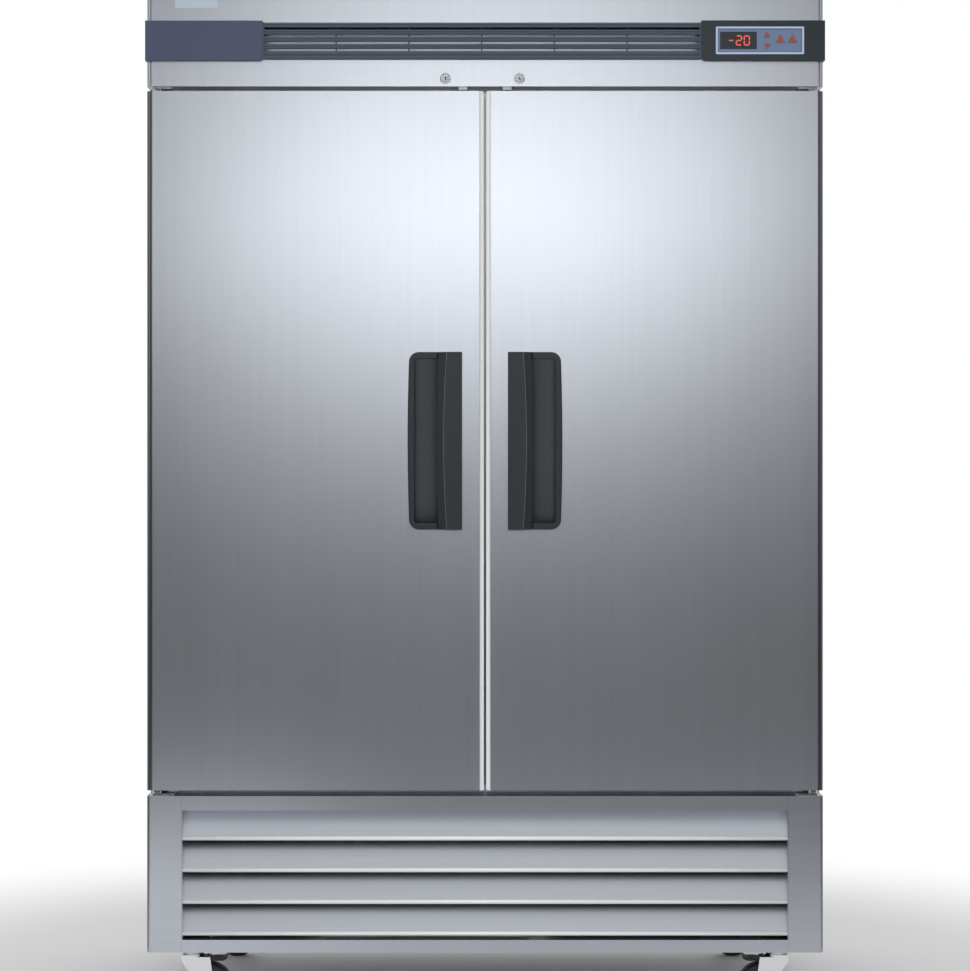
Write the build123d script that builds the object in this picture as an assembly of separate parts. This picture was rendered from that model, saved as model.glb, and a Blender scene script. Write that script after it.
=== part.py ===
from build123d import *
import math
import os

os.makedirs("parts", exist_ok=True)

# An upright two-door laboratory freezer on swivel casters, in millimetres.
# +Z is up, the doors face -Y, and the origin is on the floor under the middle of the whole freezer.

# Outside of the cabinet
cabinet_width = 1375.0
cabinet_height = 2100.0
body_depth = 800.0
caster_height = 130.0
base_height = 318.0
header_height = 210.0

# Doors and the gaps round them
door_thickness = 60.0
door_edge_radius = 10.0
top_gap = 9.3
bottom_gap = 11.5
centre_gap = 4.0
gasket_gap = 14.0

# Sheet metal, insulation and the storage cavity
sheet = 1.0
foam_wall = 60.0
header_wall = 60.0
head_drop = 60.0
liner_corner = 15.0
mullion_half = 40.0
mullion_depth = 56.0
mullion_wall = 1.5
breaker_band = 18.0
breaker_lip = 20.0

# Door inner panel and gasket
dike_height = 24.0
dike_clearance = 10.0
dike_draft = 8.0
gasket_width = 24.0
gasket_foot = 14.0
gasket_foot_height = 5.0
gasket_side_inset = 23.5
gasket_centre_inset = 10.0
gasket_end_inset = 22.5
soft_gap = 0.3

# Recessed door handle
handle_height = 360.0
handle_centre_z = 1170.0
handle_inset = 46.7
handle_width = 110.3
handle_proud = 12.0
handle_bow = 3.4
handle_corner = 20.0
grip_width = 49.3
grip_edge = 2.0
flange_thickness = 3.0
rim_width = 13.0
rim_proud = 8.0
rim_edge = 2.5
cup_depth = 40.0
cup_wall = 2.5
cup_tuck = 41.0
cup_corner = 7.0
cup_clearance = 0.2
bevel_sag = 8.1
bevel_width = 10.6
bevel_fall = 5.0

# Hinges
hinge_side_inset = 20.0
hinge_face_inset = 25.0
pin_radius = 6.0
pin_reach = 16.0
pin_relief = 2.0
ring_radius = 11.0
bracket_plate = 5.0
bracket_leg = 4.0
bracket_leg_height = 30.0
bracket_length = 50.0
bracket_margin = 6.0
bracket_front_gap = 4.0
doubler_thickness = 3.0
doubler_length = 70.0
thrust_gap = 0.3
running_gap = 0.08
fit_gap = 0.1

# Fascia strip across the header
fascia_rise = 51.0
fascia_height = 81.0
fascia_wrap = 2.0
fascia_wrap_depth = 18.0
end_plate_width = 238.0
end_plate_proud = 10.0
end_plate_corner = 6.0
grille_margin = 3.0
grille_proud = 7.0
grille_back = 2.0
grille_top_rail = 10.0
grille_bottom_rail = 17.0
grille_slot = 4.6
grille_slots = 4
grille_stile = 4.0
grille_rib = 3.0
grille_ribs = 5

# Control module at the right end of the fascia
housing_width = 250.2
housing_corner = 8.0
faceplate_width = 178.6
faceplate_height = 55.8
faceplate_margin = 42.7
faceplate_rim = 4.0
faceplate_corner = 2.0
faceplate_sink = 1.5
faceplate_web = 2.5
faceplate_depth = 7.0
display_width = 74.6
display_height = 35.4
display_x = -43.6
display_thickness = 1.2
button_proud = 1.2
button_lip = 1.5
button_flange = 1.5
button_gap = 0.15
small_button = 12.0
large_button = 17.7
small_button_x = 14.4
small_button_rise = 10.4
set_button_x = 41.5
light_button_x = 66.3
large_button_rise = 1.2

# Key locks
left_lock_x = 80.5
right_lock_x = 70.4
lock_rise = 15.7
lock_bezel_radius = 11.0
lock_bezel_proud = 3.0
lock_bezel_edge = 1.0
lock_body_radius = 9.5
lock_body_length = 22.0
lock_plug_radius = 5.5
lock_plug_proud = 0.4
cam_length = 32.0
cam_width = 10.0
cam_thickness = 3.0
cam_gap = 0.3
cam_clearance = 1.5

# Door sensors in the gap above the doors
sensor_x = 45.0
sensor_width = 18.0
sensor_height = 6.0
sensor_depth = 12.0
sensor_setback = 6.0

# Base and its louvred front panel
base_sheet = 1.5
post_width = 70.5
post_radius = 8.0
pan_sheet = 2.0
rail_width = 80.0
rail_height = 30.0
rear_angle = 25.0
louvre_depth = 36.0
louvre_sheet = 1.5
louvre_top_rail = 29.5
louvre_bottom_rail = 25.6
louvre_gap = 0.3
blade_count = 4
blade_rise = 57.0
blade_setback = 32.0
blade_sheet = 2.0
nose_radius = 4.0
nose_rise = 12.4

# Back panel and cord gland
back_joggle = 10.0
vent_rows = 7
vent_row_pitch = 28.0
vent_row_start = 90.0
vent_slot_height = 8.0
vent_slot_length = 150.0
vent_columns = 3
vent_column_pitch = 190.0
gland_inset = 167.5
gland_rise = 90.0
gland_flange_radius = 13.0
gland_body_radius = 9.0
gland_bore_radius = 4.5
gland_flange = 4.0
gland_nut_thickness = 4.0
gland_length = 16.0

# Shelves and what carries them
shelf_count = 3
shelf_thickness = 8.0
shelf_rim = 9.0
shelf_corner = 6.0
shelf_wires = 12
shelf_wire = 6.0
shelf_gap = 2.0
shelf_front_gap = 2.0
shelf_back_gap = 4.0
pilaster_depth = 8.0
pilaster_width = 16.0
pilaster_wall = 1.5
pilaster_end_gap = 50.0
pilaster_slots_per_bay = 3
pilaster_slot_height = 12.0
pilaster_slot_width = 6.0
clip_length = 12.0
clip_width = 13.0
clip_height = 10.0
clip_edge = 3.0
clip_tongue = 2.5
clip_gap = 0.2

# Condensing unit in the base
unit_x = -120.0
coil_width = 420.0
coil_height = 240.0
coil_depth = 50.0
coil_setback = 60.0
coil_foot = 18.0
coil_plate = 3.0
coil_core_share = 0.4
coil_fin_pitch = 20.0
fin_thickness = 1.5
shroud_depth = 42.0
shroud_sheet = 1.5
ring_clearance = 4.0
ring_depth = 30.0
condenser_fan_radius = 106.0
condenser_fan_hub = 26.0
condenser_fan_depth = 30.0
fan_blades = 5
fan_blade_sheet = 2.0
fan_pitch_angle = 25.0
fan_root_chord = 34.0
fan_tip_chord = 62.0
shaft_radius = 4.0
motor_radius = 38.0
motor_length = 66.0
motor_gap = 6.0
strap_width = 34.0
strap_thickness = 12.0
compressor_radius = 78.0
compressor_height = 205.0
compressor_dome = 34.0
compressor_shoulder = 12.0
compressor_y = 110.0
foot_height = 22.0
foot_plate = 4.0
foot_radius = 14.0
foot_spread_x = 92.0
foot_spread_y = 62.0
terminal_box = 56.0
terminal_box_depth = 26.0
drip_gap = 110.0
drip_width = 330.0
drip_depth = 380.0
drip_height = 42.0
drip_sheet = 1.5
drip_corner = 12.0

# Refrigerant lines
line_radius = 4.8
line_bend = 24.0
line_clearance = 0.3
line_offset = 40.0
line_ceiling_gap = 30.0
stub_length = 16.0
drier_radius = 14.0
drier_length = 90.0
drier_y = -40.0

# Evaporator unit under the ceiling of the cavity
cover_side_gap = 65.5
cover_front_gap = 57.0
cover_back_gap = 44.0
cover_clearance = 12.0
cover_sheet = 1.5
evaporator_side_gap = 120.0
evaporator_depth = 100.0
evaporator_setback = 260.0
evaporator_height = 165.0
evaporator_fin_pitch = 44.0
evaporator_fan_radius = 76.0
evaporator_fan_hub = 22.0
evaporator_fan_depth = 24.0
evaporator_fan_setback = 22.0
evaporator_root_chord = 24.0
evaporator_tip_chord = 44.0
evaporator_motor_radius = 30.0
evaporator_motor_length = 50.0

# Casters
caster_side_inset = 87.5
caster_inset = 70.0
caster_trail = 32.0
wheel_radius = 50.0
wheel_width = 32.0
wheel_hub_radius = 13.0
wheel_hub_width = 34.0
tread_edge = 5.0
axle_radius = 5.0
axle_head_radius = 8.0
axle_head = 2.5
plate_length = 95.0
plate_width = 70.0
plate_thickness = 4.0
plate_corner = 8.0
raceway_top_radius = 26.0
raceway_bottom_radius = 22.0
raceway_height = 10.0
swivel_gap = 0.3
fork_top = 4.0
fork_top_radius = 22.0
fork_sheet = 3.0
fork_inside = 36.0
fork_boss = 13.0
kingpin_radius = 6.0
pedal_pivot_x = 29.0
pedal_pivot_drop = 3.5
pedal_pin_radius = 3.0
pedal_hub_radius = 5.5
pedal_hub_width = 34.0
pedal_reach = 71.0
pedal_sheet = 6.0
pedal_drop = 4.0
pedal_tip_length = 9.0
pedal_tip_rise = 4.0
pedal_pad_start = 42.0
pedal_pad_width = 42.0

# Places that follow from the sizes above
half_width = cabinet_width / 2
front_y = -(body_depth + handle_proud) / 2
door_front = front_y + handle_proud
door_back = door_front + door_thickness
box_front = door_back + gasket_gap
back_y = door_front + body_depth
base_top = caster_height + base_height
header_bottom = cabinet_height - header_height
door_bottom = base_top + bottom_gap
door_top = header_bottom - top_gap
door_edge = centre_gap / 2
hem = 2 * sheet
foam_front = box_front + hem
cavity_half = half_width - 2 * sheet - foam_wall
cavity_floor = base_top + 2 * sheet + foam_wall
cavity_ceiling = cabinet_height - 2 * sheet - foam_wall
cavity_back = back_y - 2 * sheet - foam_wall
mouth_top = header_bottom - head_drop
header_back = foam_front + header_wall + sheet
mullion_back = box_front + mullion_depth
hinge_x = half_width - hinge_side_inset
hinge_y = door_front + hinge_face_inset
grip_outer = handle_inset + grip_width
handle_outer = handle_inset + handle_width
handle_bottom = handle_centre_z - handle_height / 2
handle_top = handle_centre_z + handle_height / 2
fascia_bottom = header_bottom + fascia_rise
fascia_top = fascia_bottom + fascia_height
fascia_side = half_width + fascia_wrap
housing_left = fascia_side - housing_width
faceplate_x = fascia_side - faceplate_margin - faceplate_width / 2
faceplate_z = (fascia_bottom + fascia_top) / 2
web_front = front_y + faceplate_sink
web_back = web_front + faceplate_web
lock_z = header_bottom + lock_rise
cam_front = door_front + lock_body_length + cam_gap
cam_reach = math.hypot(cam_length, cam_width / 2)
low_back = back_y - sheet - back_joggle
gland_x = half_width - gland_inset
pan_top = caster_height + pan_sheet
bay_height = (mouth_top - cavity_floor) / (shelf_count + 1)
front_pilaster_y = mullion_back
rear_pilaster_y = cavity_back - pilaster_width
coil_front = door_front + coil_setback
coil_back = coil_front + coil_depth
coil_bottom = pan_top + coil_foot
coil_top = coil_bottom + coil_height
coil_left = unit_x - coil_width / 2
coil_right = unit_x + coil_width / 2
condenser_fan_z = (coil_bottom + coil_top) / 2
condenser_fan_y = coil_back + shroud_depth + condenser_fan_depth / 2
drip_x = coil_right + drip_gap
cover_half_width = cavity_half - cover_side_gap
evaporator_half = cover_half_width - evaporator_side_gap
cover_bottom = mouth_top + cover_clearance
cover_front = header_back + cover_front_gap
cover_back = cavity_back - cover_back_gap
evaporator_front = cover_front + evaporator_setback
evaporator_back = evaporator_front + evaporator_depth
evaporator_fan_y = cover_front + evaporator_fan_setback
evaporator_fan_z = (cover_bottom + cavity_ceiling) / 2
compressor_top = pan_top + foot_height + foot_plate + compressor_height
riser_y = cavity_back + sheet + foam_wall / 2
raceway_bottom = caster_height - plate_thickness - raceway_height + swivel_gap
fork_height = raceway_bottom - swivel_gap
caster_x = half_width - caster_side_inset
front_caster_y = door_front + caster_inset
rear_caster_y = low_back - caster_inset


# Drawing helpers

def rect(u0, u1, v0, v1):
    """A rectangle between two corners."""
    return Pos((u0 + u1) / 2, (v0 + v1) / 2) * Rectangle(u1 - u0, v1 - v0)


def outline(*points):
    """A closed outline with straight sides."""
    return make_face(Polyline(*points, close=True))


def upright(face, z0, z1):
    """An outline drawn in plan, raised from one height to another."""
    return extrude(Pos(0, 0, z0) * face, z1 - z0)


def frontal(face, y0, y1):
    """An outline drawn as seen from the front, pushed back from one depth to another."""
    return extrude(Plane.XZ.offset(-y1) * face, y1 - y0)


def sideways(face, x0, x1):
    """An outline drawn as seen from the side, depth across and height up, drawn out along the width."""
    return extrude(Plane.YZ.offset(x0) * face, x1 - x0)


def block(x0, x1, y0, y1, z0, z1):
    """A plain block between two corners."""
    return upright(rect(x0, x1, y0, y1), z0, z1)


def turned(face, x, z):
    """A profile of radius across and depth up, turned about a front-to-back axis through x and z."""
    return Pos(x, 0, z) * revolve(face, Axis.Y)


def rounded_front(x0, x1, y0, y1, radius):
    """A plan outline with its two front corners rounded."""
    face = rect(x0, x1, y0, y1)
    return fillet(face.vertices().group_by(Axis.Y)[0], radius)


def rounded_rect(u0, u1, v0, v1, radius):
    """A rectangle between two corners, with all four corners rounded."""
    return fillet(rect(u0, u1, v0, v1).vertices(), radius)


def ring(u0, u1, v0, v1, width):
    """A rectangular frame of one width, measured inwards."""
    return rect(u0, u1, v0, v1) - rect(u0 + width, u1 - width, v0 + width, v1 - width)


def mirrored(shape):
    """The same piece for the other side of the freezer."""
    return mirror(shape, about=Plane.YZ)


def joined(pieces):
    """Several shapes as one part."""
    return Part() + pieces


# Insulated cabinet

def cavity_section(grow, front):
    """The storage cavity in side view, with the header wall standing down into it."""
    back = cavity_back + grow
    step = header_back - grow
    face = outline(
        (front, cavity_floor - grow),
        (back, cavity_floor - grow),
        (back, cavity_ceiling + grow),
        (step, cavity_ceiling + grow),
        (step, mouth_top + grow),
        (front, mouth_top + grow),
    )
    return fillet(face.vertices().group_by(Axis.X)[-1], liner_corner + grow)


def cavity(grow, front):
    """The cavity as a solid, grown outwards by a thickness."""
    return sideways(cavity_section(grow, front), -cavity_half - grow, cavity_half + grow)


def cabinet_mouth(y0, y1):
    """The opening in the steel front flange, one band wider than the liner all round."""
    across = cavity_half + breaker_band
    return block(-across, across, y0, y1, cavity_floor - breaker_band, mouth_top + breaker_band)


def make_cabinet_shell():
    """Folded outer skin with a hemmed flange round the mouth."""
    outer = block(-half_width, half_width, box_front, back_y - sheet, base_top, cabinet_height)
    side = half_width - sheet
    inner = block(-side, side, foam_front, back_y, base_top + sheet, cabinet_height - sheet)
    return outer - inner - cabinet_mouth(box_front, foam_front) - line_channels()


def make_cabinet_foam():
    """Foamed-in-place insulation between the shell and the liner."""
    side = half_width - sheet
    body = block(-side, side, foam_front, back_y - sheet, base_top + sheet, cabinet_height - sheet)
    return body - cavity(sheet, box_front) - line_channels()


def make_inner_liner():
    """Stainless liner with coved back corners."""
    liner = cavity(sheet, foam_front) - cavity(0, box_front)
    return liner - line_channels()


def make_back_panel():
    """One back sheet that steps forward over the machine room, with rows of vent slots."""
    section = (
        rect(back_y - sheet, back_y, base_top - sheet, cabinet_height)
        + rect(low_back, back_y, base_top - sheet, base_top)
        + rect(low_back, low_back + sheet, caster_height, base_top)
    )
    panel = sideways(section, -half_width, half_width)
    slots = [
        Pos(
            (column - (vent_columns - 1) / 2) * vent_column_pitch + unit_x,
            caster_height + vent_row_start + row * vent_row_pitch,
        )
        * Rectangle(vent_slot_length, vent_slot_height)
        for column in range(vent_columns)
        for row in range(vent_rows)
    ]
    hole = Pos(gland_x, caster_height + gland_rise) * Circle(gland_body_radius + fit_gap)
    return panel - frontal(Sketch() + slots + hole, low_back, low_back + sheet)


def make_cord_gland():
    """Moulded gland clamped in the back panel by its hexagonal nut, with its bore left open."""
    inside = low_back - gland_length + gland_flange
    outside = low_back + sheet
    place = Pos(gland_x, caster_height + gland_rise)
    body = frontal(place * Circle(gland_body_radius), inside, outside)
    flange = frontal(place * Circle(gland_flange_radius), outside, outside + gland_flange)
    nut = frontal(place * RegularPolygon(gland_flange_radius, 6), low_back - gland_nut_thickness, low_back)
    bore = frontal(place * Circle(gland_bore_radius), inside, outside + gland_flange)
    return joined([body, flange, nut]) - bore


def make_centre_mullion():
    """Folded post between the two doorways, with a steel strike strip for the door magnets."""
    strip = mullion_half - breaker_band + hem
    side = mullion_half - hem
    section = rect(-side, side, foam_front, mullion_back)
    hollow = rect(
        -side + mullion_wall, side - mullion_wall, foam_front + mullion_wall, mullion_back - mullion_wall
    )
    tube = upright(section - hollow, cavity_floor, mouth_top)
    face = rect(-strip, strip, box_front, foam_front)
    return tube + upright(face, cavity_floor - breaker_band, mouth_top + breaker_band)


def make_breaker_trim():
    """A plastic thermal-break frame round each doorway."""
    inner_side = mullion_half - hem
    clear = rect(mullion_half, cavity_half - hem, cavity_floor + hem, mouth_top - hem)
    band = rect(
        mullion_half - breaker_band + hem,
        cavity_half + breaker_band,
        cavity_floor - breaker_band,
        mouth_top + breaker_band,
    )
    lip = rect(inner_side, cavity_half, cavity_floor, mouth_top)
    frame = frontal(band - clear, box_front, foam_front)
    frame = frame + frontal(lip - clear, box_front, box_front + breaker_lip)
    return joined([frame, mirrored(frame)])


# Shelves

def pilaster_places():
    """Where each shelf standard of the right-hand column stands: wall face, its direction and its depth."""
    return [
        (0, 1, front_pilaster_y),
        (0, 1, rear_pilaster_y),
        (cavity_half, -1, front_pilaster_y),
        (cavity_half, -1, rear_pilaster_y),
    ]


def make_shelf_pilasters():
    """Slotted channels on the side walls, behind the mullion and down the middle of the back wall."""
    low = cavity_floor + pilaster_end_gap
    high = mouth_top - pilaster_end_gap
    pitch = bay_height / pilaster_slots_per_bay
    centre = pilaster_width / 2
    section = rect(0, pilaster_depth, 0, pilaster_width) - rect(
        0, pilaster_depth - pilaster_wall, pilaster_wall, pilaster_width - pilaster_wall
    )
    channel = upright(section, low, high)
    steps = range(1, pilaster_slots_per_bay * (shelf_count + 1))
    heights = [cavity_floor + step * pitch - clip_height / 2 for step in steps]
    slots = [
        Pos(centre, z) * Rectangle(pilaster_slot_width, pilaster_slot_height)
        for z in heights
        if low + pilaster_slot_height < z < high - pilaster_slot_height
    ]
    channel = channel - sideways(Sketch() + slots, pilaster_depth - pilaster_wall, pilaster_depth)
    right = []
    for wall_x, facing, y in pilaster_places():
        turned_in = channel if facing > 0 else mirrored(channel)
        right.append(Pos(wall_x, y, 0) * turned_in)
    return joined(right + [mirrored(piece) for piece in right])


def shelf_heights():
    """The underside of each shelf."""
    return [cavity_floor + bay_height * (step + 1) for step in range(shelf_count)]


def make_shelf_clips():
    """Hooked clips in the slots of the standards, four under each shelf."""
    tongue_top = -(clip_height - clip_edge) / 2
    wedge = outline((0, 0), (clip_length, 0), (clip_length, -clip_edge), (0, -clip_height))
    tongue = rect(-clip_tongue, 0, tongue_top - clip_edge, tongue_top)
    clip = frontal(wedge, -clip_width / 2, clip_width / 2)
    half_tongue = pilaster_slot_width / 2 - clip_gap
    clip = clip + frontal(tongue, -half_tongue, half_tongue)
    right = []
    for wall_x, facing, y in pilaster_places():
        turned_in = clip if facing > 0 else mirrored(clip)
        for z in shelf_heights():
            right.append(Pos(wall_x + facing * pilaster_depth, y + pilaster_width / 2, z) * turned_in)
    return joined(right + [mirrored(piece) for piece in right])


def make_wire_shelves():
    """Open shelves of front-to-back wires in a rim, three to each column."""
    left = pilaster_depth + shelf_gap
    right = cavity_half - pilaster_depth - shelf_gap
    front = mullion_back + shelf_front_gap
    back = cavity_back - shelf_back_gap
    pitch = (right - left - 2 * shelf_rim + shelf_wire) / (shelf_wires + 1)
    openings = [
        rect(
            left + shelf_rim + index * pitch,
            left + shelf_rim + (index + 1) * pitch - shelf_wire,
            front + shelf_rim,
            back - shelf_rim,
        )
        for index in range(shelf_wires + 1)
    ]
    grid = rounded_rect(left, right, front, back, shelf_corner) - openings
    column = [upright(grid, z, z + shelf_thickness) for z in shelf_heights()]
    return joined(column + [mirrored(piece) for piece in column])


# Header with its fascia strip and locks

def cam_slot(lock_x, z0, z1):
    """The clearance that a lock cam sweeps through between two heights."""
    drop = lock_z - z1
    sweep = math.sqrt(cam_reach**2 - drop**2)
    return block(
        lock_x - cam_width / 2 - cam_clearance,
        lock_x + sweep + cam_clearance,
        cam_front - cam_clearance,
        cam_front + cam_thickness + cam_clearance,
        z0,
        z1,
    )


def make_header_panel():
    """Folded header box with rounded front corners, open at the back."""
    side = half_width - sheet
    plan = rounded_front(-half_width, half_width, door_front, box_front, door_edge_radius)
    hollow = rounded_front(-side, side, door_front + sheet, box_front + sheet, door_edge_radius - sheet)
    outer = upright(plan, header_bottom, cabinet_height)
    inner = upright(hollow, header_bottom + sheet, cabinet_height - sheet)
    window = rect(
        -fascia_side + end_plate_width + grille_stile,
        housing_left - grille_stile,
        fascia_bottom + grille_margin + grille_bottom_rail,
        fascia_top - grille_margin - grille_top_rail,
    )
    locks = [Pos(x, lock_z) * Circle(lock_body_radius + fit_gap) for x in (-left_lock_x, right_lock_x)]
    panel = outer - inner - frontal(Sketch() + window + locks, door_front, door_front + sheet)
    right_slot = cam_slot(right_lock_x, header_bottom, header_bottom + sheet)
    left_slot = mirrored(cam_slot(left_lock_x, header_bottom, header_bottom + sheet))
    return panel - right_slot - left_slot


def grille_bar(low, high, front, back):
    """One louvre bar in side view, with two rounded-off steps in its face."""
    rise = high - low
    deep = back - front
    return outline(
        (back, low),
        (front + 0.3 * deep, low),
        (front, low + 0.15 * rise),
        (front + 0.1 * deep, low + 0.42 * rise),
        (front + 0.45 * deep, low + 0.5 * rise),
        (front + 0.35 * deep, low + 0.65 * rise),
        (front + 0.6 * deep, high),
        (back, high),
    )


def make_vent_grille():
    """Louvred grille between the end plate and the control housing."""
    left = -fascia_side + end_plate_width
    right = housing_left
    low = fascia_bottom + grille_margin
    high = fascia_top - grille_margin
    front = door_front - grille_proud
    back = door_front - grille_back
    first_bar = low + grille_bottom_rail + grille_slot
    last_slot = high - grille_top_rail - grille_slot
    pitch = (last_slot - first_bar + grille_slot) / (grille_slots - 1)
    section = grille_bar(low, low + grille_bottom_rail, front, back)
    section = section + grille_bar(high - grille_top_rail, high, front, back)
    for step in range(grille_slots - 1):
        foot = first_bar + step * pitch
        section = section + grille_bar(foot, foot + pitch - grille_slot, front, back)
    bars = sideways(section, left, right)
    stiles = rect(left, left + grille_stile, low, high) + rect(right - grille_stile, right, low, high)
    span = (right - left - grille_stile) / (grille_ribs + 1)
    ribs = [
        rect(left + span * (step + 1), left + span * (step + 1) + grille_rib, low, high)
        for step in range(grille_ribs)
    ]
    return joined([bars, frontal(stiles, front, door_front), frontal(Sketch() + ribs, back, door_front)])


def fascia_block(left, right, depth, corner, corner_side):
    """A moulded end piece of the fascia, rounded at the lower corner next to the grille."""
    face = rect(left, right, fascia_bottom, fascia_top)
    corners = face.vertices().group_by(Axis.Y)[0].sort_by(Axis.X)
    face = fillet(corners[corner_side], corner)
    return frontal(face, door_front - depth, door_front)


def fascia_return(x0, x1):
    """The thin return of a fascia piece round the side of the header."""
    return block(x0, x1, door_front, door_front + fascia_wrap_depth, fascia_bottom, fascia_top)


def make_fascia_end_plate():
    """Plain moulding at the left end of the fascia strip."""
    body = fascia_block(-fascia_side, -fascia_side + end_plate_width, end_plate_proud, end_plate_corner, 1)
    return body + fascia_return(-fascia_side, -half_width)


def faceplate_outline(shrink):
    """The control faceplate as seen from the front, shrunk by a margin."""
    across = faceplate_width / 2 - shrink
    up = faceplate_height / 2 - shrink
    return rounded_rect(
        faceplate_x - across, faceplate_x + across, faceplate_z - up, faceplate_z + up, faceplate_corner
    )


def make_control_housing():
    """Dark moulding that carries the control faceplate in a shallow recess."""
    body = fascia_block(housing_left, fascia_side, handle_proud, housing_corner, 0)
    recess = frontal(faceplate_outline(-fit_gap), front_y, front_y + faceplate_depth)
    return body + fascia_return(half_width, fascia_side) - recess


def button_places():
    """Each button: its place on the faceplate, its width and which way it points."""
    return {
        "button_up": (small_button_x, small_button_rise, small_button, 90),
        "button_down": (small_button_x, -small_button_rise, small_button, -90),
        "button_set": (set_button_x, large_button_rise, large_button, 90),
        "button_light": (light_button_x, large_button_rise, large_button, 90),
    }


def button_outline(place, grow):
    """A triangular button as seen from the front, grown outwards by a margin."""
    x, z, width, pointing = place
    radius = width / math.sqrt(3) + 2 * grow
    return Pos(faceplate_x + x, faceplate_z + z) * RegularPolygon(radius, 3, rotation=pointing)


def make_button(place):
    """A triangular key with a flange that holds it behind the faceplate."""
    key = frontal(button_outline(place, 0), web_front - button_proud, web_back + button_gap)
    flange = frontal(
        button_outline(place, button_lip), web_back + button_gap, web_back + button_gap + button_flange
    )
    return key + flange


def display_outline(grow):
    """The display window as seen from the front."""
    across = display_width / 2 + grow
    up = display_height / 2 + grow
    x = faceplate_x + display_x
    return rect(x - across, x + across, faceplate_z - up, faceplate_z + up)


def make_control_faceplate():
    """Faceplate with a raised rim, a pocket for the display and a hole for each button."""
    border = faceplate_outline(0) - faceplate_outline(faceplate_rim)
    rim = frontal(border, front_y, front_y + faceplate_depth)
    web = frontal(faceplate_outline(faceplate_rim), web_front, web_back)
    plate = rim + web
    plate = plate - frontal(display_outline(fit_gap), web_front, web_front + display_thickness)
    for place in button_places().values():
        plate = plate - frontal(button_outline(place, button_gap), web_front, web_back)
    return plate


def make_display_window():
    """Dark window over the temperature display."""
    return frontal(display_outline(0), web_front, web_front + display_thickness)


def make_lock_barrels():
    """Two chromed key lock barrels in the header."""
    bore = lock_plug_radius + running_gap
    front = door_front - lock_bezel_proud
    edge = lock_bezel_edge
    bezel = outline(
        (bore, front),
        (lock_bezel_radius - edge, front),
        (lock_bezel_radius, front + edge),
        (lock_bezel_radius, door_front),
        (bore, door_front),
    )
    face = bezel + rect(bore, lock_body_radius, door_front, door_front + lock_body_length)
    return joined([turned(face, x, lock_z) for x in (-left_lock_x, right_lock_x)])


def make_lock_plug(lock_x):
    """Rotating plug with a cam that lies sideways while the door is unlocked."""
    plug_front = door_front - lock_bezel_proud - lock_plug_proud
    plug = turned(rect(0, lock_plug_radius, plug_front, cam_front), lock_x, lock_z)
    blade = rounded_rect(0, cam_length, -cam_width / 2, cam_width / 2, cam_width / 2 - fit_gap)
    blade = blade + Circle(cam_width / 2)
    return plug + frontal(Pos(lock_x, lock_z) * blade, cam_front, cam_front + cam_thickness)


def make_door_sensors():
    """Small white sensor blocks under the header, one above each door."""
    front = door_front + sensor_setback
    right = block(
        sensor_x - sensor_width / 2,
        sensor_x + sensor_width / 2,
        front,
        front + sensor_depth,
        header_bottom - sensor_height,
        header_bottom,
    )
    return joined([right, mirrored(right)])


# Hinges

def hinge_bracket(fixed_z, door_z, into_door):
    """One angle bracket with a thrust ring and a pin; into_door is +1 when the pin points up."""
    outer = half_width - bracket_margin
    inner = outer - bracket_length
    plate_z = fixed_z + into_door * bracket_plate
    leg_z = fixed_z + into_door * bracket_leg_height
    ring_z = door_z - into_door * thrust_gap
    pin_z = door_z + into_door * pin_reach
    front = door_front + bracket_front_gap
    plate = rect(inner, outer, front, box_front)
    plate = chamfer(plate.vertices().group_by(Axis.Y)[0], bracket_margin)
    pieces = [
        upright(plate, min(fixed_z, plate_z), max(fixed_z, plate_z)),
        block(inner, outer, box_front - bracket_leg, box_front, min(fixed_z, leg_z), max(fixed_z, leg_z)),
        upright(Pos(hinge_x, hinge_y) * Circle(ring_radius), min(plate_z, ring_z), max(plate_z, ring_z)),
        upright(Pos(hinge_x, hinge_y) * Circle(pin_radius), min(plate_z, pin_z), max(plate_z, pin_z)),
    ]
    return joined(pieces)


def make_hinge_brackets():
    """Top and bottom hinge brackets of both doors."""
    top = hinge_bracket(header_bottom, door_top, -1)
    bottom = hinge_bracket(base_top, door_bottom, 1)
    return joined([top, bottom, mirrored(top), mirrored(bottom)])


def pin_hole(radius, depth):
    """Holes for the hinge pins in the top and bottom of the right-hand door."""
    circle = Pos(hinge_x, hinge_y) * Circle(radius)
    return upright(circle, door_top - depth, door_top) + upright(circle, door_bottom, door_bottom + depth)


# Right-hand door; the left-hand one is its mirror image with its own lock place

def door_block(inset, back):
    """The door's outside, shrunk by a margin and cut off at a depth."""
    radius = door_edge_radius - inset
    plan = rounded_front(door_edge + inset, half_width - inset, door_front + inset, back, radius)
    return upright(plan, door_bottom + inset, door_top - inset)


def door_dike(inset):
    """The raised middle of the door's inner panel, with drafted sides."""
    face = rect(
        mullion_half + dike_clearance + inset,
        cavity_half - hem - dike_clearance - inset,
        cavity_floor + hem + dike_clearance + inset,
        mouth_top - hem - dike_clearance - inset,
    )
    height = dike_height + sheet - inset
    return extrude(Plane.XZ.offset(-door_back + sheet) * face, -height, taper=-dike_draft)


def door_doublers():
    """Plates welded inside the skin behind the hinge pins."""
    plan = rect(half_width - doubler_length, half_width, door_front, door_back - sheet)
    low = upright(plan, door_bottom + sheet, door_bottom + sheet + doubler_thickness)
    high = upright(plan, door_top - sheet - doubler_thickness, door_top - sheet)
    return door_block(sheet, door_back - sheet) & joined([low, high])


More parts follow.
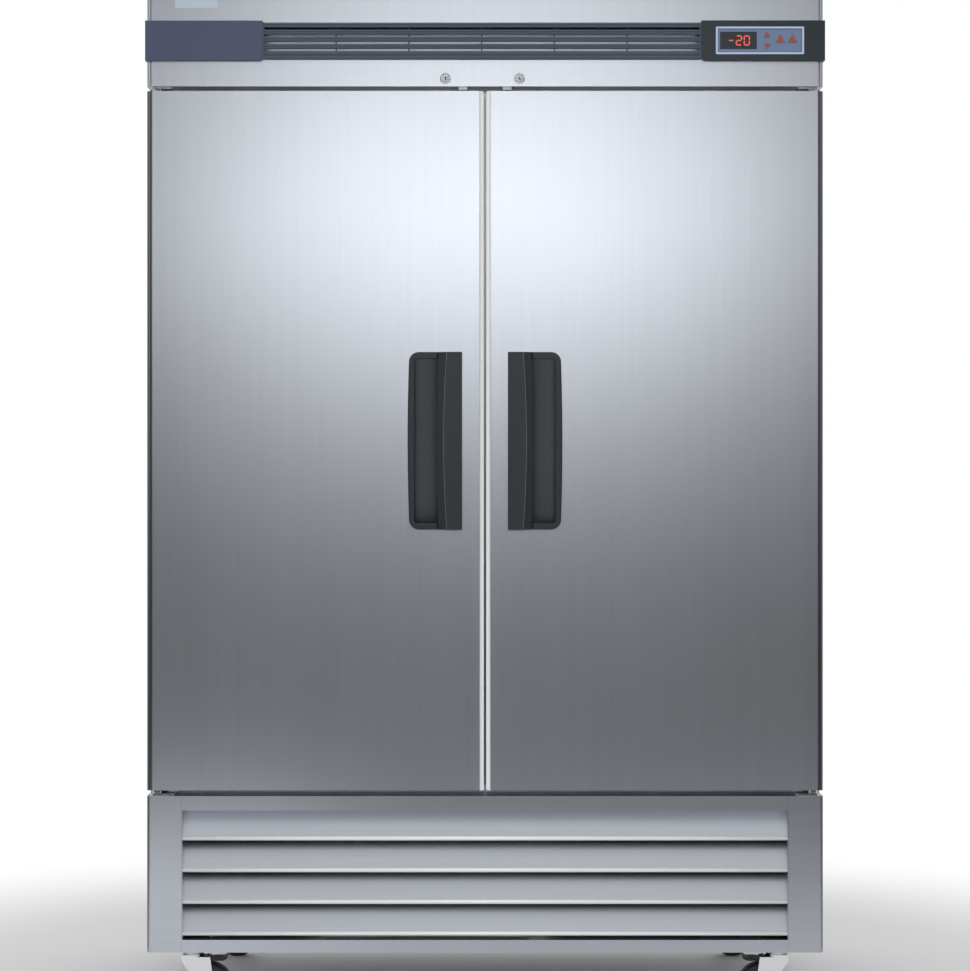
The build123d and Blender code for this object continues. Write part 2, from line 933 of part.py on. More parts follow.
def handle_outline():
    """The handle moulding as seen from the front, its outer side bowed and its outer corners rounded."""
    corner_x = handle_outer - handle_bow
    sides = Polyline(
        (corner_x, handle_top),
        (handle_inset, handle_top),
        (handle_inset, handle_bottom),
        (corner_x, handle_bottom),
    )
    bow = ThreePointArc((corner_x, handle_bottom), (handle_outer, handle_centre_z), (corner_x, handle_top))
    face = make_face(Curve() + [sides, bow])
    return fillet(face.vertices().group_by(Axis.X)[-1], handle_corner)


def cup_outline(grow):
    """The hand cup's cavity as seen from the front, grown outwards by a margin."""
    return rounded_rect(
        grip_outer - cup_tuck - grow,
        handle_outer - rim_width + grow,
        handle_bottom + rim_width - grow,
        handle_top - rim_width + grow,
        cup_corner + grow,
    )


def make_handle_pocket():
    """Moulded hand cup with a raised rim, tucked under the grip."""
    rim_face = handle_outline() & rect(grip_outer, handle_outer, handle_bottom, handle_top)
    rim = frontal(rim_face, door_front - rim_proud, door_front)
    rim = chamfer(rim.faces().sort_by(Axis.Y)[0].edges(), rim_edge)
    flange = frontal(handle_outline(), door_front - flange_thickness, door_front)
    cup = frontal(cup_outline(cup_wall), door_front, door_front + cup_depth)
    hollow = frontal(cup_outline(0), door_front - rim_proud, door_front + cup_depth - cup_wall)
    return joined([rim, flange, cup]) - hollow


def make_handle_grip():
    """Grip bar over the cup; its face falls away beyond a shallow arc."""
    face = rect(handle_inset, grip_outer, handle_bottom, handle_top)
    bar = frontal(face, front_y, door_front - flange_thickness)
    inner_edge = bar.edges().filter_by(Axis.Z).sort_by(Axis.X)[:2].sort_by(Axis.Y)[0]
    bar = fillet(inner_edge, grip_edge)
    half_chord = handle_height / 2
    arc_radius = (half_chord**2 + bevel_sag**2) / (2 * bevel_sag)
    depth = handle_proud - flange_thickness
    spread = bevel_width / bevel_fall * depth
    crest_x = grip_outer - bevel_width
    cone = Cone(arc_radius + spread, arc_radius, depth)
    cone = Pos(crest_x - arc_radius, front_y + depth / 2, handle_centre_z) * Rot(90, 0, 0) * cone
    return bar & cone


def make_door_skin(lock_x):
    """Stainless outer pan of the door with welded hinge doublers."""
    skin = door_block(0, door_back) - door_block(sheet, door_back + sheet) + door_doublers()
    skin = skin - pin_hole(pin_radius + running_gap, pin_reach)
    skin = skin - frontal(cup_outline(cup_wall + cup_clearance), door_front, door_front + sheet)
    return skin - cam_slot(lock_x, door_top - sheet, door_top)


def make_door_core(lock_x):
    """Insulation that fills the door behind the skin and inside the raised panel."""
    core = door_block(sheet, door_back - sheet) + door_dike(sheet)
    core = core - door_doublers()
    core = core - pin_hole(pin_radius + pin_relief, pin_reach + pin_relief)
    cup_back = door_front + cup_depth + cup_clearance
    cup = frontal(cup_outline(cup_wall + cup_clearance), door_front, cup_back)
    slot_depth = cam_reach - (lock_z - door_top) + cam_clearance
    return core - cup - cam_slot(lock_x, door_top - slot_depth, door_top)


def make_door_liner():
    """Inner door panel with its raised middle."""
    flat = rect(door_edge + sheet, half_width - sheet, door_bottom + sheet, door_top - sheet)
    return frontal(flat, door_back - sheet, door_back) + door_dike(0) - door_dike(sheet)


def make_door_gasket():
    """Magnetic gasket: a narrow foot on the door and a wide bellows against the cabinet."""
    left = door_edge + gasket_centre_inset
    right = half_width - gasket_side_inset
    low = door_bottom + gasket_end_inset
    high = door_top - gasket_end_inset
    step = (gasket_width - gasket_foot) / 2
    foot = ring(left + step, right - step, low + step, high - step, gasket_foot)
    bellows = ring(left, right, low, high, gasket_width)
    foot_back = door_back + gasket_foot_height
    return frontal(foot, door_back, foot_back) + frontal(bellows, foot_back, box_front - soft_gap)


# Base

def make_base_frame():
    """Welded base: posts and sides, floor pan, caster rails and the ledges that carry the cabinet."""
    post = half_width - post_width
    inside = half_width - base_sheet
    outer = rounded_front(post, half_width, door_front, low_back, post_radius)
    outer = outer + rect(post, half_width - post_radius, door_front, low_back)
    inner = rect(post - base_sheet, inside, door_front + base_sheet, low_back - base_sheet)
    side = upright(outer - inner, caster_height, base_top)
    rail_left = caster_x - rail_width / 2
    rail_right = caster_x + rail_width / 2
    rail = rect(rail_left, rail_right, pan_top, pan_top + rail_height)
    rail_roof = pan_top + rail_height - pan_sheet
    rail = rail - rect(rail_left + pan_sheet, rail_right - pan_sheet, pan_top, rail_roof)
    rail = frontal(rail, door_front + louvre_depth, low_back)
    pan = block(-inside, inside, door_front + louvre_depth, low_back, caster_height, pan_top)
    ledge = rounded_front(-half_width, half_width, door_front, box_front, post_radius)
    ledge = upright(ledge, base_top - base_sheet, base_top)
    angle = rect(low_back - rear_angle, low_back, base_top - base_sheet, base_top)
    angle = angle + rect(low_back - base_sheet, low_back, base_top - rear_angle, base_top)
    angle = sideways(angle, -inside, inside)
    return joined([side, mirrored(side), rail, mirrored(rail), pan, ledge, angle]) - line_channels()


def make_louvre_panel():
    """Front panel with sloped blades that end in rolled noses."""
    side = half_width - post_width - louvre_gap
    low = caster_height
    high = base_top - base_sheet
    field_low = low + louvre_bottom_rail
    field_high = base_top - louvre_top_rail
    front = door_front
    back = door_front + louvre_depth
    section = rect(front, front + louvre_sheet, field_high, high)
    section = section + rect(front, back, field_high, field_high + louvre_sheet)
    section = section + rect(front, front + louvre_sheet, low, field_low)
    section = section + rect(front, back, field_low - louvre_sheet, field_low)
    first_nose = field_high - blade_rise
    last_nose = field_low + nose_rise
    pitch = (first_nose - last_nose) / (blade_count - 1)
    nose_y = front + nose_radius
    top_y = front + blade_setback
    for step in range(blade_count):
        nose_z = first_nose - step * pitch
        blade = outline(
            (nose_y, nose_z),
            (nose_y + blade_sheet, nose_z),
            (top_y + blade_sheet, nose_z + blade_rise),
            (top_y, nose_z + blade_rise),
        )
        section = section + blade + Pos(nose_y, nose_z) * Circle(nose_radius)
    end = sideways(rect(front, back, low, high), side - louvre_sheet, side)
    return joined([sideways(section, -side, side), end, mirrored(end)])


# Condensing unit

def finned(left, right, front, back, low, high, pitch, plate, foot):
    """A tube-and-fin coil: fins across a thinner core, between two end plates that run on to its seat."""
    middle = (front + back) / 2
    core = (back - front) * coil_core_share / 2
    count = round((right - left) / pitch)
    step = (right - left - fin_thickness) / count
    comb = rect(left, right, middle - core, middle + core)
    fins = [left + index * step for index in range(count + 1)]
    comb = comb + [rect(x, x + fin_thickness, front, back) for x in fins]
    ends = rect(left - plate, left, front, back) + rect(right, right + plate, front, back)
    return upright(comb, low, high) + upright(ends, min(low, foot), max(high, foot))


def make_condenser_coil():
    """Air-cooled condenser behind the louvres."""
    coil = finned(
        coil_left + coil_plate,
        coil_right - coil_plate,
        coil_front,
        coil_back,
        coil_bottom,
        coil_top,
        coil_fin_pitch,
        coil_plate,
        pan_top,
    )
    middle = (coil_front + coil_back) / 2
    stub = Circle(line_radius)
    hot = sideways(Pos(middle, coil_top - line_offset) * stub, coil_right, coil_right + stub_length)
    liquid = sideways(Pos(middle, coil_bottom + line_offset) * stub, coil_left - stub_length, coil_left)
    return joined([coil, hot, liquid])


def make_condenser_shroud():
    """Sheet shroud that draws air through the coil into the fan ring."""
    outer = rect(coil_left, coil_right, coil_bottom, coil_top)
    border = ring(coil_left, coil_right, coil_bottom, coil_top, shroud_sheet)
    mouth = condenser_fan_radius + ring_clearance
    hole = Pos(unit_x, condenser_fan_z) * Circle(mouth)
    wall = coil_back + shroud_depth
    walls = frontal(border, coil_back, wall)
    face = frontal(outer - hole, wall - shroud_sheet, wall)
    throat = rect(mouth, mouth + shroud_sheet, wall - shroud_sheet, wall + ring_depth)
    throat = turned(throat, unit_x, condenser_fan_z)
    return joined([walls, face, throat])


def make_fan(radius, hub, depth, root_chord, tip_chord):
    """Axial fan: a bored hub with pitched blades that widen outwards, turning about a front-to-back axis."""
    bore = shaft_radius + running_gap
    body = revolve(rect(bore, hub, -depth / 2, depth / 2), Axis.Y)
    root = hub - fan_blade_sheet
    blade = outline(
        (root, -root_chord / 2),
        (radius, -tip_chord / 2),
        (radius, tip_chord / 2),
        (root, root_chord / 2),
    )
    blade = Rot(fan_pitch_angle, 0, 0) * frontal(blade, -fan_blade_sheet / 2, fan_blade_sheet / 2)
    return joined([body] + [Rot(0, index * 360 / fan_blades, 0) * blade for index in range(fan_blades)])


def make_condenser_fan():
    """Fan in the shroud's ring."""
    fan = make_fan(
        condenser_fan_radius,
        condenser_fan_hub,
        condenser_fan_depth,
        fan_root_chord,
        fan_tip_chord,
    )
    return Pos(unit_x, condenser_fan_y, condenser_fan_z) * fan


def make_evaporator_fan():
    """Fan behind the front opening of the evaporator cover."""
    fan = make_fan(
        evaporator_fan_radius,
        evaporator_fan_hub,
        evaporator_fan_depth,
        evaporator_root_chord,
        evaporator_tip_chord,
    )
    return Pos(0, evaporator_fan_y, evaporator_fan_z) * fan


def fan_motor(x, fan_y, z, fan_depth, radius, length, seat_z):
    """Motor behind a fan, with its shaft and a strap down to its seat."""
    front = fan_y + fan_depth / 2 + motor_gap
    shaft = rect(0, shaft_radius, fan_y - fan_depth / 2, front)
    body = turned(shaft + rect(0, radius, front, front + length), x, z)
    middle = front + length / 2
    across = strap_width / 2
    deep = strap_thickness / 2
    return body + block(x - across, x + across, middle - deep, middle + deep, seat_z, z)


def make_fan_motors():
    """Condenser fan motor and evaporator fan motor."""
    condenser = fan_motor(
        unit_x,
        condenser_fan_y,
        condenser_fan_z,
        condenser_fan_depth,
        motor_radius,
        motor_length,
        pan_top,
    )
    evaporator = fan_motor(
        0,
        evaporator_fan_y,
        evaporator_fan_z,
        evaporator_fan_depth,
        evaporator_motor_radius,
        evaporator_motor_length,
        cover_bottom + cover_sheet,
    )
    return joined([condenser, evaporator])


def make_compressor():
    """Hermetic compressor: a domed can on a foot plate with rubber feet, and its terminal box."""
    plate_z = pan_top + foot_height
    low = plate_z + foot_plate
    crown = compressor_radius - compressor_dome
    profile = outline(
        (0, low),
        (compressor_radius, low),
        (compressor_radius, compressor_top - compressor_dome),
        (compressor_radius - compressor_shoulder, compressor_top - compressor_shoulder),
        (crown, compressor_top),
        (0, compressor_top),
    )
    can = revolve(Plane.XZ * profile, Axis.Z)
    plate = rounded_rect(
        -foot_spread_x - foot_radius,
        foot_spread_x + foot_radius,
        -foot_spread_y - foot_radius,
        foot_spread_y + foot_radius,
        foot_radius,
    )
    feet = [
        Pos(x, y) * Circle(foot_radius)
        for x in (-foot_spread_x, foot_spread_x)
        for y in (-foot_spread_y, foot_spread_y)
    ]
    half_box = terminal_box / 2
    middle = (low + compressor_top) / 2
    box_side = compressor_radius + terminal_box_depth
    box = block(0, box_side, -half_box, half_box, middle - half_box, middle + half_box)
    stubs = [Pos(x, 0) * Circle(line_radius) for x in (-line_offset, line_offset)]
    pieces = [
        can,
        upright(plate, plate_z, low),
        upright(Sketch() + feet, pan_top, plate_z),
        box,
        upright(Sketch() + stubs, middle, compressor_top + stub_length),
    ]
    return Pos(unit_x, compressor_y, 0) * joined(pieces)


def make_drain_pan():
    """Open evaporating pan beside the condensing unit."""
    outer = rounded_rect(drip_x, drip_x + drip_width, -drip_depth / 2, drip_depth / 2, drip_corner)
    inner = rounded_rect(
        drip_x + drip_sheet,
        drip_x + drip_width - drip_sheet,
        -drip_depth / 2 + drip_sheet,
        drip_depth / 2 - drip_sheet,
        drip_corner - drip_sheet,
    )
    return upright(outer, pan_top, pan_top + drip_height) - upright(
        inner, pan_top + drip_sheet, pan_top + drip_height
    )


def tube(points, radius):
    """A round tube along straight runs, each corner taken in two mitred steps."""
    places = [Vector(*point) for point in points]
    route = [places[0]]
    for before, corner, after in zip(places, places[1:], places[2:]):
        route.append(corner + (before - corner).normalized() * line_bend)
        route.append(corner + (after - corner).normalized() * line_bend)
    route.append(places[-1])
    path = Polyline(*route)
    section = Plane(origin=path @ 0, z_dir=path % 0) * Circle(radius)
    return sweep(section, path=path, transition=Transition.RIGHT)


def liquid_riser():
    """Route of the liquid line from the drier up inside the back insulation to the evaporator."""
    x = coil_left - stub_length - 2 * line_bend
    low = coil_bottom + line_offset
    high = evaporator_fan_z + line_offset
    return [
        (x, drier_y + drier_length, low),
        (x, riser_y, low),
        (x, riser_y, high),
        (x, evaporator_back + stub_length, high),
    ]


def suction_riser():
    """Route of the suction line from the evaporator down to the compressor."""
    x = unit_x - line_offset
    high = evaporator_fan_z - line_offset
    run_z = base_top - line_ceiling_gap
    return [
        (x, evaporator_back + stub_length, high),
        (x, riser_y, high),
        (x, riser_y, run_z),
        (x, compressor_y, run_z),
        (x, compressor_y, compressor_top + stub_length),
    ]


def line_channels():
    """Clearance round the two risers where they pass through the cabinet."""
    radius = line_radius + line_clearance
    return tube(liquid_riser(), radius) + tube(suction_riser(), radius)


def make_refrigerant_lines():
    """Discharge, liquid and suction lines with the filter drier."""
    middle = (coil_front + coil_back) / 2
    run_z = base_top - line_ceiling_gap
    hot_x = unit_x + line_offset
    side_x = coil_right + stub_length + 2 * line_bend
    discharge = [
        (hot_x, compressor_y, compressor_top + stub_length),
        (hot_x, compressor_y, run_z),
        (side_x, compressor_y, run_z),
        (side_x, middle, run_z),
        (side_x, middle, coil_top - line_offset),
        (coil_right + stub_length, middle, coil_top - line_offset),
    ]
    liquid_x = coil_left - stub_length - 2 * line_bend
    low = coil_bottom + line_offset
    liquid = [(coil_left - stub_length, middle, low), (liquid_x, middle, low), (liquid_x, drier_y, low)]
    drier = turned(rect(0, drier_radius, drier_y, drier_y + drier_length), liquid_x, low)
    lines = [tube(route, line_radius) for route in (discharge, liquid, liquid_riser(), suction_riser())]
    return joined(lines + [drier])


# Evaporator unit

def make_evaporator_cover():
    """Tray under the evaporator with a round fan opening in front, open at the back."""
    side = cover_half_width
    inside = side - cover_sheet
    outer = block(-side, side, cover_front, cover_back, cover_bottom, cavity_ceiling)
    front = cover_front + cover_sheet
    inner = block(-inside, inside, front, cover_back, cover_bottom + cover_sheet, cavity_ceiling)
    hole = Pos(0, evaporator_fan_z) * Circle(evaporator_fan_radius + ring_clearance)
    return outer - inner - frontal(hole, cover_front, cover_front + cover_sheet)


def make_evaporator_coil():
    """Evaporator hung from the ceiling by its end plates."""
    high = cavity_ceiling - line_clearance - sheet
    coil = finned(
        -evaporator_half,
        evaporator_half,
        evaporator_front,
        evaporator_back,
        cavity_ceiling - evaporator_height,
        high,
        evaporator_fin_pitch,
        coil_plate,
        cavity_ceiling,
    )
    middle = (evaporator_front + evaporator_back) / 2
    stubs = [
        Pos(liquid_riser()[-1][0], liquid_riser()[-1][2]) * Circle(line_radius),
        Pos(suction_riser()[0][0], suction_riser()[0][2]) * Circle(line_radius),
    ]
    return coil + frontal(Sketch() + stubs, middle, evaporator_back + stub_length)


# Casters, drawn for the left side with the wheel trailing inwards, about a swivel axis at x = 0, y = 0

def caster_plate():
    """Top plate and raceway of one caster."""
    plate = rect(-plate_length / 2, plate_length / 2, -plate_width / 2, plate_width / 2)
    plate = chamfer(plate.vertices(), plate_corner)
    top = upright(plate, caster_height - plate_thickness, caster_height)
    race = outline(
        (0, raceway_bottom),
        (raceway_bottom_radius, raceway_bottom),
        (raceway_top_radius, caster_height - plate_thickness),
        (0, caster_height - plate_thickness),
    )
    race = revolve(Plane.XZ * race, Axis.Z)
    return top + race - upright(Circle(kingpin_radius + running_gap), raceway_bottom, caster_height)


def caster_fork():
    """Chromed fork with its kingpin, wheel axle and pedal pin."""
    shoulder = fork_height - fork_top
    pivot_z = shoulder - pedal_pivot_drop
    nose_x = pedal_pivot_x + pedal_hub_radius + fork_top / 2
    head = rect(-fork_top_radius, nose_x, pivot_z - pedal_hub_radius, shoulder)
    boss = Pos(caster_trail, wheel_radius) * Circle(fork_boss)
    leg_face = make_hull(head.edges() + boss.edges())
    inside = fork_inside / 2
    outside = inside + fork_sheet
    plate = rect(-fork_top_radius, 0, -outside, outside) + Circle(fork_top_radius)
    kingpin = Circle(kingpin_radius)
    hexagon = Pos(caster_trail, wheel_radius) * RegularPolygon(axle_head_radius, 6)
    pieces = [
        frontal(leg_face, -outside, -inside),
        frontal(leg_face, inside, outside),
        upright(plate, shoulder, fork_height),
        upright(kingpin, shoulder, caster_height - swivel_gap),
        frontal(Pos(caster_trail, wheel_radius) * Circle(axle_radius), -outside, outside),
        frontal(hexagon, -outside - axle_head, -outside),
        frontal(hexagon, outside, outside + axle_head),
        frontal(Pos(pedal_pivot_x, pivot_z) * Circle(pedal_pin_radius), -outside, outside),
    ]
    return joined(pieces)


def caster_wheel():
    """Solid wheel with bevelled tread edges and a hub that stands proud on both sides."""
    bore = axle_radius + running_gap
    disc = rect(bore, wheel_radius, -wheel_width / 2, wheel_width / 2)
    disc = chamfer(disc.vertices().group_by(Axis.X)[-1], tread_edge)
    profile = disc + rect(bore, wheel_hub_radius, -wheel_hub_width / 2, wheel_hub_width / 2)
    return turned(profile, caster_trail, wheel_radius)


def caster_pedal():
    """Brake pedal that hinges between the fork's legs above the wheel."""
    pivot_z = fork_height - fork_top - pedal_pivot_drop
    low = pivot_z - pedal_drop
    high = low + pedal_sheet
    bend_x = pedal_reach - pedal_tip_length
    arm = outline(
        (pedal_pivot_x, low),
        (bend_x, low),
        (pedal_reach, low + pedal_tip_rise),
        (pedal_reach, high + pedal_tip_rise),
        (bend_x, high),
        (pedal_pivot_x, high),
    )
    hub = Pos(pedal_pivot_x, pivot_z) * Circle(pedal_hub_radius)
    middle = frontal(arm + hub, -pedal_hub_width / 2, pedal_hub_width / 2)
    pad = arm & rect(pedal_pad_start, pedal_reach, low, high + pedal_tip_rise)
    pad = frontal(pad, -pedal_pad_width / 2, pedal_pad_width / 2)
    bore = Pos(pedal_pivot_x, pivot_z) * Circle(pedal_pin_radius + running_gap)
    return middle + pad - frontal(bore, -pedal_hub_width, pedal_hub_width)


def caster_nodes():
    """All four casters, with brakes on the front pair."""
    pieces = {}
    plates = []
    for row, y in (("front", front_caster_y), ("rear", rear_caster_y)):
        place = Pos(-caster_x, y, 0)
        left = {"fork": place * caster_fork(), "wheel": place * caster_wheel()}
        if row == "front":
            left["pedal"] = place * caster_pedal()
        plates.append(place * caster_plate())
        for kind, shape in left.items():
            pieces[f"{row}_left_{kind}"] = shape
            pieces[f"{row}_right_{kind}"] = mirrored(shape)
    pieces["caster_plates"] = joined(plates + [mirrored(plate) for plate in plates])
    return pieces


def door_nodes():
    """Both doors, each of six pieces."""
    right = {
        "skin": make_door_skin(right_lock_x),
        "core": make_door_core(right_lock_x),
        "liner": make_door_liner(),
        "gasket": make_door_gasket(),
        "handle_pocket": make_handle_pocket(),
        "handle_grip": make_handle_grip(),
    }
    left = dict(right)
    left["skin"] = make_door_skin(left_lock_x)
    left["core"] = make_door_core(left_lock_x)
    pieces = {f"right_door_{kind}": shape for kind, shape in right.items()}
    pieces.update({f"left_door_{kind}": mirrored(shape) for kind, shape in left.items()})
    return pieces


nodes = {
    "cabinet_shell": make_cabinet_shell(),
    "cabinet_foam": make_cabinet_foam(),
    "inner_liner": make_inner_liner(),
    "back_panel": make_back_panel(),
    "cord_gland": make_cord_gland(),
    "centre_mullion": make_centre_mullion(),
    "breaker_trim": make_breaker_trim(),
    "shelf_pilasters": make_shelf_pilasters(),
    "shelf_clips": make_shelf_clips(),
    "wire_shelves": make_wire_shelves(),
    "header_panel": make_header_panel(),
    "vent_grille": make_vent_grille(),
    "fascia_end_plate": make_fascia_end_plate(),
    "control_housing": make_control_housing(),
    "control_faceplate": make_control_faceplate(),
    "display_window": make_display_window(),
    "lock_barrels": make_lock_barrels(),
    "left_lock_plug": mirrored(make_lock_plug(left_lock_x)),
    "right_lock_plug": make_lock_plug(right_lock_x),
    "door_sensors": make_door_sensors(),
    "hinge_brackets": make_hinge_brackets(),
    "base_frame": make_base_frame(),
    "louvre_panel": make_louvre_panel(),
    "condenser_coil": make_condenser_coil(),
    "condenser_shroud": make_condenser_shroud(),
    "condenser_fan": make_condenser_fan(),
    "fan_motors": make_fan_motors(),
    "compressor": make_compressor(),
    "drain_pan": make_drain_pan(),
    "refrigerant_lines": make_refrigerant_lines(),
    "evaporator_cover": make_evaporator_cover(),
    "evaporator_coil": make_evaporator_coil(),
    "evaporator_fan": make_evaporator_fan(),
}
nodes.update({name: make_button(place) for name, place in button_places().items()})
nodes.update(door_nodes())
nodes.update(caster_nodes())

for name, shape in nodes.items():
    export_step(shape, f"parts/{name}.step")
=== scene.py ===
# %% [markdown]
# A tall steel freezer for a laboratory, dressed for its portrait
# The construction comes in ready made: every sheet, hinge, wheel and shelf already has its real size and
# place. This lesson gives each surface its finish, adds the small pieces that the eye looks for, and then
# lights the freezer as a catalogue photographer would. Everything is in metres, Z is up, and the doors
# face -Y.

# %% Load the freezer
import bmesh
import bpy
import math
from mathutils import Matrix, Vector


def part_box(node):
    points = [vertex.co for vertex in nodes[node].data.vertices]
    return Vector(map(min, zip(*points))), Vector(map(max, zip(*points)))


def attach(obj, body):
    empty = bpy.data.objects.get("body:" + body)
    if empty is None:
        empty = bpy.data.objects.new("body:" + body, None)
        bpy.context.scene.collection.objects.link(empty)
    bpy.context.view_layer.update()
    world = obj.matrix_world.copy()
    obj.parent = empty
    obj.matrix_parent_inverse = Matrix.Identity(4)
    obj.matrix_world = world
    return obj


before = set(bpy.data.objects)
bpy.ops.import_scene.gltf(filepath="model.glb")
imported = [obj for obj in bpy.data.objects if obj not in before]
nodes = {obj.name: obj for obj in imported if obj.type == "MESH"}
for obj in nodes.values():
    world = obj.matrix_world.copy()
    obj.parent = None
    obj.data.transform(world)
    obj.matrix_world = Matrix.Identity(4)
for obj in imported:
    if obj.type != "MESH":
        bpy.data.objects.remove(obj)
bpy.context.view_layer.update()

# %% [markdown]
# The freezer is made of sheet metal, so almost every later step asks where a panel begins and ends. Those
# places are read from the loaded pieces. If the cabinet grew by a hand's width, the noses, beads and keys
# below would still sit where they belong.

# %% Read the main places
door_low, door_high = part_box("right_door_skin")
header_low, header_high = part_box("header_panel")
base_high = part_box("base_frame")[1]
louvre_low, louvre_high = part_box("louvre_panel")
faceplate_low, faceplate_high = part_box("control_faceplate")
window_low, window_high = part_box("display_window")
grip_low, grip_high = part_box("right_door_handle_grip")
pocket_low, pocket_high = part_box("right_door_handle_pocket")
door_front = door_low.y
half_width = door_high.x
print("doors", round(door_high.z - door_low.z, 3), "m tall, with their front at y", round(door_front, 4))

# %% [markdown]
# Shader networks grow unreadable when every sum and product is a box with wires. A small class around an
# output socket lets a finish be written as arithmetic: adding two signals adds a Math node, and so does
# 1 - mask.

# %% Arithmetic on shader sockets
class Signal:
    """An output socket of a shader network that can be added, subtracted and scaled like a number."""

    def __init__(self, network, socket):
        self.network = network
        self.socket = socket

    def _math(self, operation, left, right=0.0):
        return self.network.node("ShaderNodeMath", {"operation": operation}, {0: left, 1: right})

    def __add__(self, other):
        return self._math("ADD", self, other)

    def __radd__(self, other):
        return self._math("ADD", other, self)

    def __sub__(self, other):
        return self._math("SUBTRACT", self, other)

    def __rsub__(self, other):
        return self._math("SUBTRACT", other, self)

    def __mul__(self, other):
        return self._math("MULTIPLY", self, other)

    def __rmul__(self, other):
        return self._math("MULTIPLY", other, self)

    def __abs__(self):
        return self._math("ABSOLUTE", self)

    def or_larger(self, other):
        """Whichever of two signals is the larger one."""
        return self._math("MAXIMUM", self, other)

    def fade(self, start, end, low=0.0, high=1.0):
        """Low before start, high after end, and a smooth slope between."""
        slope = {0: self, 1: start, 2: end, 3: low, 4: high}
        return self.network.node("ShaderNodeMapRange", {"interpolation_type": "SMOOTHSTEP"}, slope)


print("signals can be added, subtracted, scaled and faded")

# %% [markdown]
# A network is where such signals live, and one method makes any kind of node in it. A finish is a network
# with a Principled shader at its end. The world behind the freezer needs no shader of that kind, so it uses
# the plain network.

# %% Networks and finishes
FIRST_COLOUR, SECOND_COLOUR, MIXED_COLOUR = 6, 7, 2


class Network:
    """A shader network that measures places in one kind of coordinates."""

    def __init__(self, tree, coordinates):
        self.tree = tree
        self.place = self.node("ShaderNodeTexCoord", {}, {}, coordinates)

    def node(self, kind, settings, inputs, output=0):
        """A node of one kind: its settings, a value or a signal for its inputs, and the output wanted."""
        node = self.tree.nodes.new(kind)
        for key, value in settings.items():
            setattr(node, key, value)
        for key, value in inputs.items():
            if isinstance(value, Signal):
                self.link(value, node.inputs[key])
            else:
                node.inputs[key].default_value = value
        return Signal(self, node.outputs[output])

    def link(self, signal, socket):
        """Wires a signal to an input socket."""
        self.tree.links.new(signal.socket, socket)

    def axis(self, index):
        """One coordinate of the place: 0 across, 1 in depth, 2 upright."""
        return self.node("ShaderNodeSeparateXYZ", {}, {0: self.place}, index)

    def rays(self, kind):
        """1 for one kind of light ray and 0 for all others."""
        return self.node("ShaderNodeLightPath", {}, {}, kind)

    def mix(self, amount, first, second):
        """A colour between two others."""
        colours = [value if isinstance(value, Signal) else (*value, 1.0) for value in (first, second)]
        inputs = {0: amount, FIRST_COLOUR: colours[0], SECOND_COLOUR: colours[1]}
        return self.node("ShaderNodeMix", {"data_type": "RGBA"}, inputs, MIXED_COLOUR)


class Finish(Network):
    """One surface finish: a Principled shader and the network that varies it over the surface."""

    def __init__(self, name, colour, roughness, metallic=0.0):
        self.material = bpy.data.materials.new(name)
        self.material.use_nodes = True
        super().__init__(self.material.node_tree, "Object")
        self.shader = self.tree.nodes["Principled BSDF"]
        self.fix("Base Color", (*colour, 1.0))
        self.fix("Roughness", roughness)
        self.fix("Metallic", metallic)

    def fix(self, socket, value):
        """Gives one of the shader's sockets a constant."""
        self.shader.inputs[socket].default_value = value

    def wear(self, socket, signal):
        """Lets a signal drive one of the shader's sockets."""
        self.link(signal, self.shader.inputs[socket])
        return self

    def stretched(self, scale):
        """The place with each axis scaled, so that a noise draws out into grain."""
        return self.node("ShaderNodeVectorMath", {"operation": "MULTIPLY"}, {0: self.place, 1: scale})

    def noise(self, scale, detail=2.0, roughness=0.5, place=None):
        """A cloudy noise from 0 to 1."""
        inputs = {"Vector": place or self.place, "Scale": scale, "Detail": detail, "Roughness": roughness}
        return self.node("ShaderNodeTexNoise", {}, inputs)

    def relief(self, height, distance):
        """Raises the surface by a signal, as fine grain or ripple that only the light sees."""
        inputs = {"Height": height, "Distance": distance, "Strength": 1.0}
        return self.wear("Normal", self.node("ShaderNodeBump", {}, inputs))


def tinted(colour, factor, lift=0.0):
    """A colour made darker or lighter, never brighter than white."""
    return tuple(min(value * factor + lift, 1.0) for value in colour)


print("networks and finishes are ready:", Network.__name__, Finish.__name__)

# %% [markdown]
# Brushed stainless steel is rolled sheet that was dragged past an abrasive belt. The belt leaves hair-fine
# scratches all in one direction. A noise stretched some eighty times along the brushing gives the hairs and
# the streaks, a broader one gives the slow cloudiness that a big panel shows, and all of them move the
# roughness a little, because it is the shine that makes steel look brushed, far more than its colour.

# %% Brushed stainless steel
STEEL = (0.58, 0.61, 0.665)
HAIR_SHARE = 0.55
STREAK_SHARE = 0.45


def brushed_steel(name, along, colour=STEEL, roughness=0.29, hair=0.012):
    """Stainless sheet with its grain along one axis: 0 across, 2 upright."""
    finish = Finish(name, colour, roughness, metallic=1.0)
    stretch = [1.0, 1.0, 1.0]
    stretch[along] = hair
    hairs = finish.noise(scale=900.0, detail=3.0, roughness=0.65, place=finish.stretched(stretch))
    broad = finish.noise(scale=1.6)
    streak = finish.noise(scale=90.0, place=finish.stretched(stretch))
    grain = hairs * HAIR_SHARE + streak * STREAK_SHARE
    finish.wear("Base Color", finish.mix(grain, tinted(colour, 0.9), tinted(colour, 1.07)))
    finish.wear("Roughness", roughness - 0.035 + hairs * 0.025 + streak * 0.025 + broad * 0.03)
    return finish.relief(hairs, distance=0.000006)


